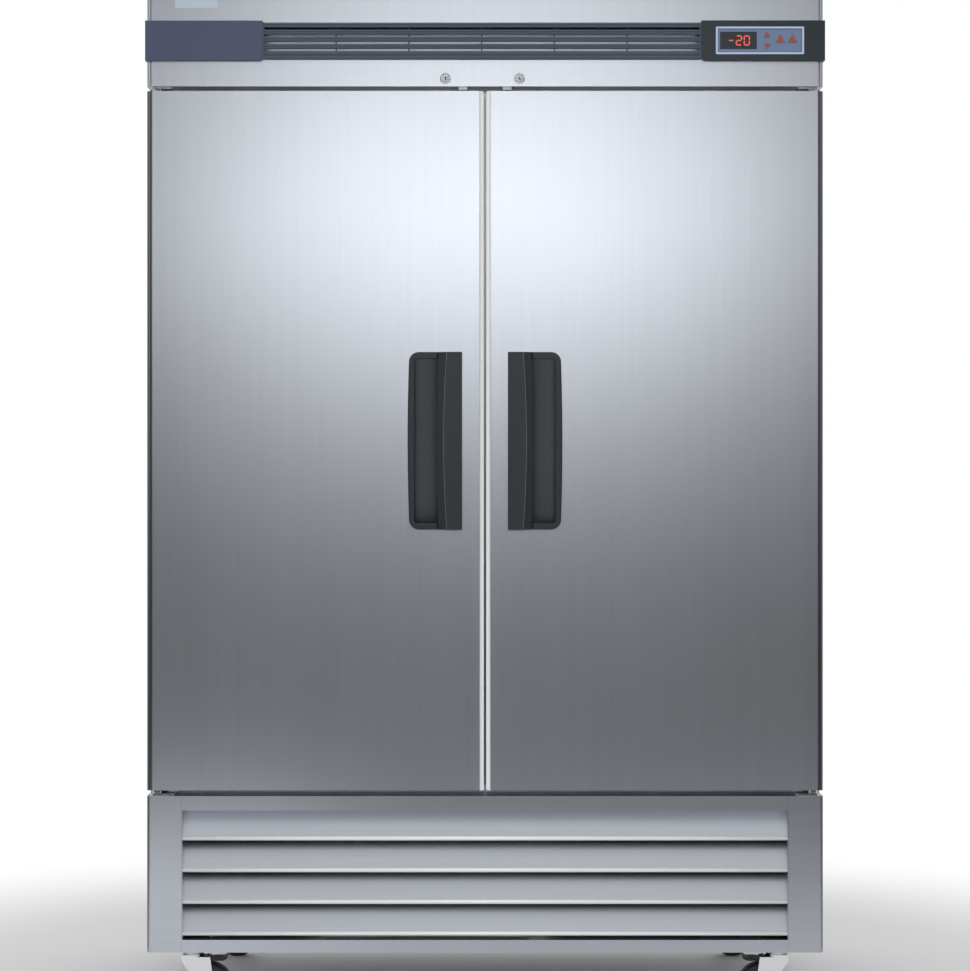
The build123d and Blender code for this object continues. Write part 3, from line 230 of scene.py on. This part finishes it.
upright_steel = brushed_steel("brushed_steel_upright", 2)
level_steel = brushed_steel("brushed_steel_level", 0)
liner_steel = brushed_steel("liner_steel", 2, (0.66, 0.67, 0.685), 0.42)
aluminium = brushed_steel("fan_aluminium", 0, (0.75, 0.755, 0.76), 0.38, 0.2)
fins = brushed_steel("coil_fins", 2, (0.70, 0.71, 0.72), 0.42, 0.05)
print("brushed finishes:", upright_steel.material.name, level_steel.material.name, fins.material.name)

# %% [markdown]
# Moulded plastic is never quite smooth. The mould was spark-eroded, which leaves a fine even pimple that
# breaks up the highlight, and handling polishes the high spots. A fine noise makes the pimples, and a slow
# cloud lets the shine wander a little, as it does on a part that cooled unevenly.

# %% Moulded plastics
def moulded(name, colour, roughness=0.42, pimple=1400.0, depth=0.00004):
    """Injection-moulded plastic with a spark-eroded grain."""
    finish = Finish(name, colour, roughness)
    grain = finish.noise(scale=pimple, roughness=0.6)
    cloud = finish.noise(scale=14.0, detail=3.0, roughness=0.55)
    blotch = cloud * 0.7 + grain * 0.3
    finish.wear("Base Color", finish.mix(blotch, tinted(colour, 0.86), tinted(colour, 1.12)))
    finish.wear("Roughness", roughness - 0.06 + cloud * 0.08 + grain * 0.05)
    return finish.relief(grain, depth)


# The end plate is the same navy-grey plastic as the housing; its lighter blue-grey is a painted reflection.
fascia_reflection_plastic = moulded("fascia_painted_reflection_blue_grey", (0.064, 0.076, 0.145), 0.38)
grille_plastic = moulded("grille_slate", (0.060, 0.078, 0.115), 0.34)
housing_plastic = moulded("housing_near_black", (0.014, 0.023, 0.034), 0.34)
handle_plastic = moulded("handle_black", (0.020, 0.024, 0.033), 0.40, 900.0, 0.00008)
caster_plastic = moulded("caster_black", (0.018, 0.018, 0.020), 0.45)
gland_plastic = moulded("gland_black", (0.020, 0.020, 0.022), 0.5)
trim_plastic = moulded("breaker_off_white", (0.74, 0.74, 0.72), 0.4)
sensor_plastic = moulded("sensor_white", (0.86, 0.86, 0.86), 0.35)
key_plastic = moulded("key_red_brown", (0.34, 0.075, 0.035), 0.3)
print("moulded finishes:", fascia_reflection_plastic.material.name, handle_plastic.material.name)

# %% [markdown]
# Chrome is nearly a mirror. What keeps it from looking like a drawing of a mirror is dirt: faint smears that
# only show in the roughness, and fine pits. The same recipe with a duller setting gives zinc plating, and
# with another colour the copper of the tubes.

# %% Plated metal and copper
def plated(name, colour, roughness):
    """Bare or plated metal with faint smears and pits."""
    finish = Finish(name, colour, roughness, metallic=1.0)
    smear = finish.noise(scale=60.0, detail=4.0, roughness=0.6)
    pits = finish.noise(scale=700.0)
    finish.wear("Roughness", roughness - 0.03 + smear * 0.08)
    return finish.relief(pits, distance=0.00001)


chrome = plated("chrome_plate", (0.82, 0.83, 0.85), 0.10)
zinc = plated("zinc_plate", (0.66, 0.67, 0.68), 0.30)
copper = plated("copper_tube", (0.80, 0.42, 0.27), 0.28)
print("plated finishes:", chrome.material.name, zinc.material.name, copper.material.name)

# %% [markdown]
# The galvanised back sheet shows spangle: the zinc froze in flat crystals, each a slightly different grey.
# Voronoi cells are exactly that pattern, and feeding the cell colour to both tone and roughness makes single
# crystals flash as the view moves.

# %% Galvanised, painted and rubber finishes
def galvanised(name):
    """Hot-dip zinc with spangle."""
    finish = Finish(name, (0.55, 0.56, 0.57), 0.45, metallic=0.85)
    cells = finish.node("ShaderNodeTexVoronoi", {}, {"Vector": finish.place, "Scale": 100.0}, "Color")
    tone = finish.node("ShaderNodeSeparateXYZ", {}, {0: cells})
    finish.wear("Base Color", finish.mix(tone, (0.44, 0.45, 0.46), (0.62, 0.63, 0.64)))
    finish.wear("Roughness", 0.36 + tone * 0.2)
    return finish.relief(tone, distance=0.00002)


def sprayed(name, colour, roughness, peel=260.0, depth=0.00006):
    """Sprayed enamel or powder coat with orange peel."""
    finish = Finish(name, colour, roughness)
    ripple = finish.noise(scale=peel)
    dust = finish.noise(scale=18.0, detail=4.0, roughness=0.6)
    finish.wear("Base Color", finish.mix(dust, colour, tinted(colour, 1.25, lift=0.01)))
    finish.wear("Roughness", roughness - 0.04 + dust * 0.1)
    return finish.relief(ripple, depth)


galvanised_sheet = galvanised("galvanised_back")
shelf_epoxy = sprayed("shelf_epoxy", (0.80, 0.81, 0.81), 0.32)
black_enamel = sprayed("black_enamel", (0.015, 0.015, 0.016), 0.22)
black_powder = sprayed("black_powder_coat", (0.03, 0.03, 0.032), 0.5, 500.0)
gasket_vinyl = sprayed("gasket_vinyl", (0.16, 0.165, 0.175), 0.5, 700.0, 0.00003)
foam_buff = sprayed("foam_buff", (0.72, 0.62, 0.38), 0.85, 240.0, 0.0004)
print("sheet and rubber finishes:", galvanised_sheet.material.name, gasket_vinyl.material.name)

# %% [markdown]
# Now the carried-over pieces get their finishes. Each line pairs one finish with the nodes that wear it, so
# nearly the whole material plan of the freezer can be read at a glance. The control panel's face and the
# door skins follow in cells of their own.

# %% Dress the carried-over pieces
def dress(finish, *names):
    """Puts one finish on loaded nodes."""
    for name in names:
        materials = nodes[name].data.materials
        materials.clear()
        materials.append(finish.material)


DOORS = ("left_door", "right_door")
CORNERS = ("front_left", "front_right", "rear_left", "rear_right")
dress(upright_steel, "cabinet_shell", "header_panel", "centre_mullion")
dress(level_steel, "base_frame", "louvre_panel", "drain_pan")
dress(liner_steel, "inner_liner", "evaporator_cover", "shelf_pilasters", *(f"{door}_liner" for door in DOORS))
dress(galvanised_sheet, "back_panel")
dress(gland_plastic, "cord_gland")
dress(foam_buff, "cabinet_foam", *(f"{door}_core" for door in DOORS))
dress(trim_plastic, "breaker_trim")
dress(zinc, "shelf_clips", "caster_plates")
dress(shelf_epoxy, "wire_shelves")
dress(grille_plastic, "vent_grille")
# lighter than the housing: a painted reflection
dress(fascia_reflection_plastic, "fascia_end_plate")
dress(housing_plastic, "control_housing", "display_window")
dress(chrome, "lock_barrels", "left_lock_plug", "right_lock_plug", "hinge_brackets")
dress(chrome, *(f"{corner}_fork" for corner in CORNERS))
dress(sensor_plastic, "door_sensors")
dress(fins, "condenser_coil", "evaporator_coil")
dress(aluminium, "condenser_fan", "evaporator_fan")
dress(black_powder, "condenser_shroud", "fan_motors")
dress(black_enamel, "compressor")
dress(copper, "refrigerant_lines")
dress(gasket_vinyl, *(f"{door}_gasket" for door in DOORS))
dress(handle_plastic, *(f"{door}_{part}" for door in DOORS for part in ("handle_pocket", "handle_grip")))
dress(caster_plastic, *(f"{corner}_wheel" for corner in CORNERS), "front_left_pedal", "front_right_pedal")
dress(key_plastic, "button_up", "button_down", "button_set", "button_light")
print("carried-over pieces dressed, out of", len(nodes))

# %% [markdown]
# The control panel's face is a printed membrane: a pale blue border round a darker blue field. The border is
# the same width all round, so it is drawn as a mask from the distance to the plate's edges.

# %% Membrane of the control panel
MEMBRANE_BORDER = 0.0032
PRINT_BLUR = 0.0004


def inside_border(finish, index, low, high):
    """1 within the border along one axis and 0 outside it."""
    reach = (high - low) / 2 - MEMBRANE_BORDER
    from_middle = abs(finish.axis(index) - (low + high) / 2)
    return 1.0 - from_middle.fade(reach - PRINT_BLUR, reach)


def membrane():
    """Printed membrane with a pale border and a darker field."""
    finish = moulded("membrane_blue", (0.115, 0.17, 0.30), 0.3)
    across = inside_border(finish, 0, faceplate_low.x, faceplate_high.x)
    upright = inside_border(finish, 2, faceplate_low.z, faceplate_high.z)
    print_dots = finish.noise(scale=420.0)
    field = finish.mix(print_dots, (0.135, 0.195, 0.33), (0.165, 0.23, 0.37))
    return finish.wear("Base Color", finish.mix(across * upright, (0.50, 0.62, 0.80), field))


dress(membrane(), "control_faceplate")
print("membrane border", MEMBRANE_BORDER, "m wide")

# %% [markdown]
# The doors are folded at their edges. Along the free edges, where the two doors meet, the skin is painted
# near
# white and made less metallic: a painted highlight that stands for the fold catching the light. Down each
# outer edge at the hinge side, a thin strip is painted dark: a painted dark reflection of the rounded fold.
# Both are masks over the skin's width.

# %% Door skins with a painted highlight and a painted dark reflection at their edges
FREE_EDGE_HIGHLIGHT = (0.0085, 0.0125)
HINGE_DARK_REFLECTION = (0.0125, 0.0105)


def door_steel():
    """Upright brushed steel with a painted highlight on the free edge and a painted dark reflection on the
    hinge edge.
    """
    finish = brushed_steel("brushed_steel_door", 2)
    across = abs(finish.axis(0))
    # masks of the painted highlight along the free edge and the painted dark reflection along the hinge edge
    free_edge_highlight = 1.0 - across.fade(*FREE_EDGE_HIGHLIGHT)
    hinge_dark_reflection = across.fade(*(half_width - inset for inset in HINGE_DARK_REFLECTION))
    grain = Signal(finish, finish.shader.inputs["Base Color"].links[0].from_socket)
    # near white painted over the free edge: a painted highlight
    bright = finish.mix(free_edge_highlight, grain, (0.97, 0.975, 0.98))
    # dark colour painted down the hinge edge: a painted dark reflection
    finish.wear("Base Color", finish.mix(hinge_dark_reflection * 0.75, bright, (0.07, 0.075, 0.085)))
    return finish.wear("Metallic", 1.0 - free_edge_highlight * 0.8)


dress(door_steel(), *(f"{door}_skin" for door in DOORS))
bare = [name for name, node in nodes.items() if not node.data.materials]
print(len(nodes), "nodes dressed, still bare:", bare)

# %% [markdown]
# The rest of the lesson adds pieces of its own. Most of them are flat plates with a drawn outline, and every
# one needs the same last steps: its faces turned outwards, a finish, and a body to ride on.

# %% Flat plates and finished pieces
def plate_outline(mesh, points, front, back):
    """Adds a flat plate with the given outline in X and Z."""
    near = [mesh.verts.new((x, front, z)) for x, z in points]
    far = [mesh.verts.new((x, back, z)) for x, z in points]
    mesh.faces.new(near)
    mesh.faces.new(far[::-1])
    for index, (first, second) in enumerate(zip(near, near[1:] + near[:1])):
        other = (index + 1) % len(points)
        mesh.faces.new((first, far[index], far[other], second))


def as_piece(name, mesh, finish, smooth=False, body="cabinet"):
    """Turns a mesh under construction into a finished piece that rides on a body."""
    bmesh.ops.recalc_face_normals(mesh, faces=mesh.faces)
    data = bpy.data.meshes.new(name)
    mesh.to_mesh(data)
    mesh.free()
    for face in data.polygons:
        face.use_smooth = smooth
    data.materials.append(finish.material)
    piece = bpy.data.objects.new(name, data)
    bpy.context.scene.collection.objects.link(piece)
    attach(piece, body)
    return piece


print("plates and pieces are ready:", plate_outline.__name__, as_piece.__name__)

# %% [markdown]
# The display is a row of light-emitting bars behind a smoked window. Seven bars make any digit, so a table of
# which bars are lit is enough to write the temperature, and a single helper cuts every bar as a small plate
# with pointed ends. The reading is a plain minus twenty. The bars stand a hair in front of the window, where
# their glow is seen without the window having to be glass.

# %% Lit bars of the display
BAR_DEPTH = 0.0004
BAR_LENGTH_SHARE = 0.92
BAR_THICKNESS_SHARE = 0.13
DIGIT_HEIGHT_SHARE = 0.52
DIGIT_WIDTH_SHARE = 0.56
DIGIT_PITCH = 1.55
FIRST_DIGIT_PLACE = 0.30
SEGMENTS = {
    "top": (0.0, 1.0, False),
    "middle": (0.0, 0.0, False),
    "bottom": (0.0, -1.0, False),
    "high_left": (-0.5, 0.5, True),
    "high_right": (0.5, 0.5, True),
    "low_left": (-0.5, -0.5, True),
    "low_right": (0.5, -0.5, True),
}
LIT = (
    ("middle",),
    ("top", "high_right", "middle", "low_left", "bottom"),
    ("top", "high_left", "high_right", "low_left", "low_right", "bottom"),
)


def lit_bar(mesh, x, z, length, thickness, upright):
    """One bar with pointed ends."""
    tip = thickness / 2
    half = length / 2
    flat = half - tip
    points = [(-half, 0), (-flat, tip), (flat, tip), (half, 0), (flat, -tip), (-flat, -tip)]
    if upright:
        points = [(v, u) for u, v in points]
    plate_outline(mesh, [(x + u, z + v) for u, v in points], window_low.y - BAR_DEPTH, window_low.y)


def glowing(name, colour, strength):
    """A lamp's diffuser: its own light, a little uneven."""
    finish = Finish(name, tinted(colour, 0.5), 0.3)
    finish.fix("Emission Strength", strength)
    uneven = finish.noise(scale=900.0)
    return finish.wear("Emission Color", finish.mix(uneven, tinted(colour, 0.8), colour))


red_glow = glowing("display_red", (0.85, 0.10, 0.06), 0.9)
window_width = window_high.x - window_low.x
window_middle = (window_low.z + window_high.z) / 2
digit_height = (window_high.z - window_low.z) * DIGIT_HEIGHT_SHARE
digit_width = digit_height * DIGIT_WIDTH_SHARE
digits = bmesh.new()
for place, lit in enumerate(LIT):
    digit_x = window_low.x + window_width * FIRST_DIGIT_PLACE + place * digit_width * DIGIT_PITCH
    for segment in lit:
        shift_x, shift_z, upright = SEGMENTS[segment]
        x = digit_x + shift_x * digit_width
        z = window_middle + shift_z * digit_height / 2
        length = (digit_height / 2 if upright else digit_width) * BAR_LENGTH_SHARE
        lit_bar(digits, x, z, length, digit_height * BAR_THICKNESS_SHARE, upright)
as_piece("display_digits", digits, red_glow)
print("digits", round(digit_height * 1000, 1), "mm tall")

# %% [markdown]
# The hand cup is a scoop: its floor rises in a curve from the deep part under the grip to the outer rim, so
# that fingers slide in and out. One curved sheet per door, bent like a quarter of an ellipse, lines the
# moulded pocket. Its outer slope faces the light, and the part beside the grip stays in shade. The sheet is a
# mid grey, far lighter than the black pocket it belongs to: partly painted light on the lit slope, under the
# real shading of the curve.

# %% Scoop of each hand cup
RIM = 0.013
CLEAR = 0.0004
CUP_DEPTH = 0.034
CUP_LIP = 0.001
CUP_UNDER_GRIP = 0.030
CUP_SHEET = 0.0008
SCOOP_STEPS = 14
# lighter than the black pocket: painted light on the cup's slope
scoop_painted_light_plastic = moulded("cup_grey_painted_light", (0.20, 0.215, 0.245), 0.42, 900.0, 0.00006)


def scoop(side, body):
    """Curved floor of a hand cup; side is -1 for the left door and 1 for the right."""
    outer = pocket_high.x - RIM - CLEAR
    inner = grip_high.x - CUP_UNDER_GRIP
    low = pocket_low.z + RIM + CLEAR
    high = pocket_high.z - RIM - CLEAR
    mesh = bmesh.new()
    rows = []
    for step in range(SCOOP_STEPS + 1):
        turn = step / SCOOP_STEPS * math.pi / 2
        x = outer - (outer - inner) * math.sin(turn)
        y = door_front + CUP_LIP + CUP_DEPTH * (1 - math.cos(turn))
        rows.append([mesh.verts.new((side * x, y, z)) for z in (low, high)])
    for near, far in zip(rows, rows[1:]):
        mesh.faces.new((near[0], near[1], far[1], far[0]))
    bmesh.ops.solidify(mesh, geom=mesh.faces[:], thickness=CUP_SHEET)
    print(body, "scoop faces", len(mesh.faces))
    return as_piece(f"{body}_cup_scoop", mesh, scoop_painted_light_plastic, smooth=True, body=body)


scoop(-1, "left_door")
scoop(1, "right_door")

# %% [markdown]
# A bright line runs down each grip in a shallow bow, where the flat face breaks into the bevel and catches
# the light. It is made as a fine bead, swept along that bow, in a grey far lighter than the black grip: a
# painted highlight of the crest. The same sweep later makes the noses of the louvres.

# %% Bead of painted highlight on each grip
BEAD_POINTS = 25
BEAD_RADIUS = 0.0006
BEAD_SUNK = 0.0004
BEAD_BOW = 0.0065
BEAD_END_GAP = 0.001
BEAD_FROM_GRIP_EDGE = 0.0185
MOSTLY_ACROSS = 0.9
# a grey far lighter than the black grip: a painted highlight of the crest
crest_highlight_plastic = moulded("bead_painted_highlight", (0.16, 0.16, 0.165), 0.35, 900.0, 0.00002)


def tube(mesh, places, radius, sides=8):
    """Sweeps a small ring of points along places that run upwards or sideways."""
    rings = []
    for index, place in enumerate(places):
        before = places[max(index - 1, 0)]
        after = places[min(index + 1, len(places) - 1)]
        ahead = (after - before).normalized()
        level = abs(ahead.x) > MOSTLY_ACROSS
        first = ahead.orthogonal() if level else ahead.cross(Vector((0.0, 1.0, 0.0)))
        first.normalize()
        second = ahead.cross(first)
        ring = []
        for side in range(sides):
            turn = side / sides * math.tau
            ring.append(mesh.verts.new(place + (first * math.cos(turn) + second * math.sin(turn)) * radius))
        rings.append(ring)
    for near, far in zip(rings, rings[1:]):
        for side in range(sides):
            other = (side + 1) % sides
            mesh.faces.new((near[side], near[other], far[other], far[side]))
    mesh.faces.new(rings[0])
    mesh.faces.new(rings[-1][::-1])


def grip_highlight_bead(side, body):
    """Bead along the crest of a grip, its light grey a painted highlight; side is -1 for the left door and 1
    for the right.
    """
    end_x = grip_high.x - BEAD_FROM_GRIP_EDGE
    half = (grip_high.z - grip_low.z) / 2 - BEAD_END_GAP
    middle = (grip_high.z + grip_low.z) / 2
    places = []
    for step in range(BEAD_POINTS):
        t = step / (BEAD_POINTS - 1) * 2 - 1
        x = side * (end_x + BEAD_BOW * (1 - t * t))
        places.append(Vector((x, grip_low.y + BEAD_SUNK, middle + half * t)))
    mesh = bmesh.new()
    tube(mesh, places, BEAD_RADIUS)
    return as_piece(f"{body}_grip_highlight_bead", mesh, crest_highlight_plastic, smooth=True, body=body)


grip_highlight_bead(-1, "left_door")
grip_highlight_bead(1, "right_door")
print("beads on both grips")

# %% [markdown]
# Each louvre blade ends in a rolled nose. The roll is what stiffens the thin sheet, and since its upper side
# faces the ceiling it always shows as a bright line. A smooth sleeve, nearly white and far paler than the
# steel, is laid over each roll, so that the highlight runs unbroken along the whole blade: its pale colour is
# a painted highlight, added to the real light that the round sleeve catches.

# %% Rolled noses of the louvres, with a painted highlight
NOSES = 4
NOSE_RADIUS = 0.004
NOSE_SIDES = 20
SLEEVE = 0.0002
NOSE_END_GAP = 0.002
FIRST_NOSE_DROP = 0.0865
LAST_NOSE_RISE = 0.038
first_nose = base_high.z - FIRST_NOSE_DROP
last_nose = louvre_low.z + LAST_NOSE_RISE
# nearly white and less metallic than the louvre steel: a painted highlight on each nose
nose_highlight_steel = brushed_steel("nose_painted_highlight", 0, (0.93, 0.94, 0.96), 0.36)
nose_highlight_steel.fix("Metallic", 0.3)
for step in range(NOSES):
    nose_y = door_front + NOSE_RADIUS
    nose_z = first_nose + (last_nose - first_nose) * step / (NOSES - 1)
    nose_x = (louvre_low.x + NOSE_END_GAP, 0.0, louvre_high.x - NOSE_END_GAP)
    nose = bmesh.new()
    tube(nose, [Vector((x, nose_y, nose_z)) for x in nose_x], NOSE_RADIUS + SLEEVE, NOSE_SIDES)
    as_piece(f"louvre_nose_{step + 1}", nose, nose_highlight_steel, smooth=True)
    print("nose", step + 1, "at z", round(nose_z, 4))

# %% [markdown]
# Each lock shows a dark slot for its key. The real keyway is a hole that is dark with shade, so the slot here
# is a small near-black rounded plate on the turning plug: painted shade. It turns with the key when the lock
# does.

# %% Key slots of painted shade
SLOT_HALF_WIDTH = 0.0011
SLOT_HALF_HEIGHT = 0.0036
SLOT_CORNER = 0.001
SLOT_THICKNESS = 0.0002
CORNER_STEPS = 6


def rounded_plate(low, high, radius, front, back):
    """A thin plate with rounded corners, lying in X and Z."""
    mesh = bmesh.new()
    points = []
    corners = ((high[0], high[1]), (low[0], high[1]), (low[0], low[1]), (high[0], low[1]))
    for quarter, (corner_x, corner_z) in enumerate(corners):
        centre_x = corner_x - math.copysign(radius, corner_x - (low[0] + high[0]) / 2)
        centre_z = corner_z - math.copysign(radius, corner_z - (low[1] + high[1]) / 2)
        for step in range(CORNER_STEPS + 1):
            turn = (quarter + step / CORNER_STEPS) * math.pi / 2
            points.append((centre_x + radius * math.cos(turn), centre_z + radius * math.sin(turn)))
    plate_outline(mesh, points, front, back)
    return mesh


def keyway_shade_plate(x, z, front, body):
    """Near-black plate on the face of a lock plug: painted shade of the keyway."""
    low = (x - SLOT_HALF_WIDTH, z - SLOT_HALF_HEIGHT)
    high = (x + SLOT_HALF_WIDTH, z + SLOT_HALF_HEIGHT)
    # near-black plate where the keyway is a hole: painted shade
    slot = rounded_plate(low, high, SLOT_CORNER, front - SLOT_THICKNESS, front)
    return as_piece(f"{body}_slot", slot, housing_plastic, body=body)


barrel_low, barrel_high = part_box("lock_barrels")
barrel_z = (barrel_low.z + barrel_high.z) / 2
barrel_radius = (barrel_high.z - barrel_low.z) / 2
plug_front = min(barrel_low.y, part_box("left_lock_plug")[0].y)
keyway_shade_plate(barrel_low.x + barrel_radius, barrel_z, plug_front, "left_lock_plug")
keyway_shade_plate(barrel_high.x - barrel_radius, barrel_z, plug_front, "right_lock_plug")
print("key slots at z", round(barrel_z, 4))

# %% [markdown]
# A small plate sits at the upper left of the header. On the real freezer it would say who made it; here it is
# left blank, a satin aluminium plate with rounded corners and a fine grain.

# %% Blank plate on the header
PLATE_FROM_LEFT = 0.0575
PLATE_FROM_TOP = 0.014
PLATE_WIDTH = 0.087
PLATE_HEIGHT = 0.037
PLATE_CORNER = 0.003
PLATE_THICKNESS = 0.0006
plate_left = header_low.x + PLATE_FROM_LEFT
plate_top = header_high.z - PLATE_FROM_TOP
plate = rounded_plate(
    (plate_left, plate_top - PLATE_HEIGHT),
    (plate_left + PLATE_WIDTH, plate_top),
    PLATE_CORNER,
    header_low.y - PLATE_THICKNESS,
    header_low.y,
)
as_piece("blank_plate", plate, brushed_steel("plate_aluminium", 0, (0.70, 0.80, 0.92), 0.42, 0.05))
print("blank plate from x", round(plate_left, 4), "with its top at z", round(plate_top, 4))

# %% [markdown]
# The studio. The catalogue picture was taken square on, from about waist height, with a long lens. Seven soft
# boxes light the freezer. The widest of those in front hangs above the camera, and its blurred reflection is
# the bright patch in the upper middle of the doors.

# %% Camera
LENS_TO_DOOR = 5.48
CAMERA_HEIGHT = 1.079
camera_data = bpy.data.cameras.new("catalogue_camera")
camera_data.lens = 100.0
camera_data.sensor_width = 36.0
camera = bpy.data.objects.new("catalogue_camera", camera_data)
camera.location = (0.0, door_front - LENS_TO_DOOR, CAMERA_HEIGHT)
camera.rotation_euler = (math.radians(90), 0.0, 0.0)
bpy.context.scene.collection.objects.link(camera)
bpy.context.scene.camera = camera
print("camera", [round(value, 3) for value in camera.location])

# %% [markdown]
# The floor is a pale disc whose rim melts into the white behind it. The melting is for the camera alone, so
# the freezer still sees a plain matt floor and keeps its shadow on it.

# %% Floor
FLOOR_RADIUS = 2.3
FLOOR_SIDES = 96
MELT_START = 0.5
MELT_END = 0.96


def floor_finish():
    """Matt pale grey that turns white towards the rim, for the camera only."""
    finish = Finish("studio_floor", (0.70, 0.70, 0.705), 0.6)
    away = finish.node("ShaderNodeVectorMath", {"operation": "LENGTH"}, {0: finish.place}, "Value")
    melt = away.fade(MELT_START * FLOOR_RADIUS, MELT_END * FLOOR_RADIUS) * finish.rays("Is Camera Ray")
    matt = Signal(finish, finish.shader.outputs["BSDF"])
    white = finish.node("ShaderNodeEmission", {}, {0: (1.0, 1.0, 1.0, 1.0), 1: 1.0})
    surface = finish.node("ShaderNodeMixShader", {}, {0: melt, 1: matt, 2: white})
    finish.link(surface, finish.tree.nodes["Material Output"].inputs["Surface"])
    return finish


disc = bmesh.new()
bmesh.ops.create_circle(disc, cap_ends=True, segments=FLOOR_SIDES, radius=FLOOR_RADIUS)
floor_mesh = bpy.data.meshes.new("studio_floor")
disc.to_mesh(floor_mesh)
disc.free()
floor_mesh.materials.append(floor_finish().material)
floor = bpy.data.objects.new("studio_floor", floor_mesh)
bpy.context.scene.collection.objects.link(floor)
print("floor disc", FLOOR_RADIUS, "m in radius")

# %% [markdown]
# A soft box is a rectangular lamp that faces a point near the freezer. Each row of the table is one of them:
# its name, its place, the point that it faces, its width and height, and its power in watts.

# %% Lamps
SOFT_BOXES = (
    ("key_soft_box", (0.0, -5.6, 2.18), (0.0, 0.0, 1.5), (2.3, 0.56), 17.0),
    ("high_soft_box", (0.0, -5.6, 3.1), (0.0, 0.0, 2.0), (1.5, 0.3), 4.5),
    ("low_key_soft_box", (0.0, -5.6, 1.62), (0.0, 0.0, 1.2), (1.7, 0.7), 2.6),
    ("left_floor_strip", (-0.95, -1.75, 0.12), (-0.4, 0.0, 0.3), (1.1, 0.22), 0.5),
    ("top_soft_box", (0.0, -1.2, 4.6), (0.0, 0.0, 1.0), (3.5, 3.5), 30.0),
    ("left_soft_box", (-4.4, -2.6, 2.2), (0.0, 0.0, 1.0), (1.6, 2.4), 12.0),
    ("right_soft_box", (4.4, -2.6, 2.2), (0.0, 0.0, 1.0), (1.6, 2.4), 8.0),
)


def soft_box(name, place, target, size, power):
    """A rectangular lamp that faces a point."""
    lamp = bpy.data.lights.new(name, "AREA")
    lamp.shape = "RECTANGLE"
    lamp.size, lamp.size_y = size
    lamp.energy = power
    body = bpy.data.objects.new(name, lamp)
    body.location = place
    body.rotation_mode = "QUATERNION"
    body.rotation_quaternion = (Vector(target) - Vector(place)).to_track_quat("-Z", "Y")
    body.visible_camera = False
    bpy.context.scene.collection.objects.link(body)
    return body


for row in SOFT_BOXES:
    soft_box(*row)
print(len(SOFT_BOXES), "soft boxes set")

# %% [markdown]
# The world is white to the camera but a soft grey room to everything else, because a steel front shows
# whatever stands before it. The room is dark low down in front and brighter overhead and behind, and matt
# surfaces get a little more of its light than shiny ones.

# %% World
MATT_FILL = 0.38


def studio_world():
    """White for the camera, and a grey room for all other rays."""
    world = bpy.data.worlds.new("studio_world")
    world.use_nodes = True
    room = Network(world.node_tree, "Generated")
    overhead = room.axis(2).fade(start=0.02, end=0.60, low=0.08, high=0.62)
    behind = room.axis(1).fade(start=-0.25, end=0.25, low=0.0, high=0.62)
    light = overhead.or_larger(behind) + MATT_FILL * room.rays("Is Diffuse Ray")
    seen = room.mix(room.rays("Is Camera Ray"), light, (1.0, 1.0, 1.0))
    room.link(seen, world.node_tree.nodes["Background"].inputs["Color"])
    return world


bpy.context.scene.world = studio_world()
bpy.context.scene.view_settings.view_transform = "Standard"
print("world ready")

# %% [markdown]
# The last cell brings the scene up to date.

# %% Finish
bpy.context.view_layer.update()
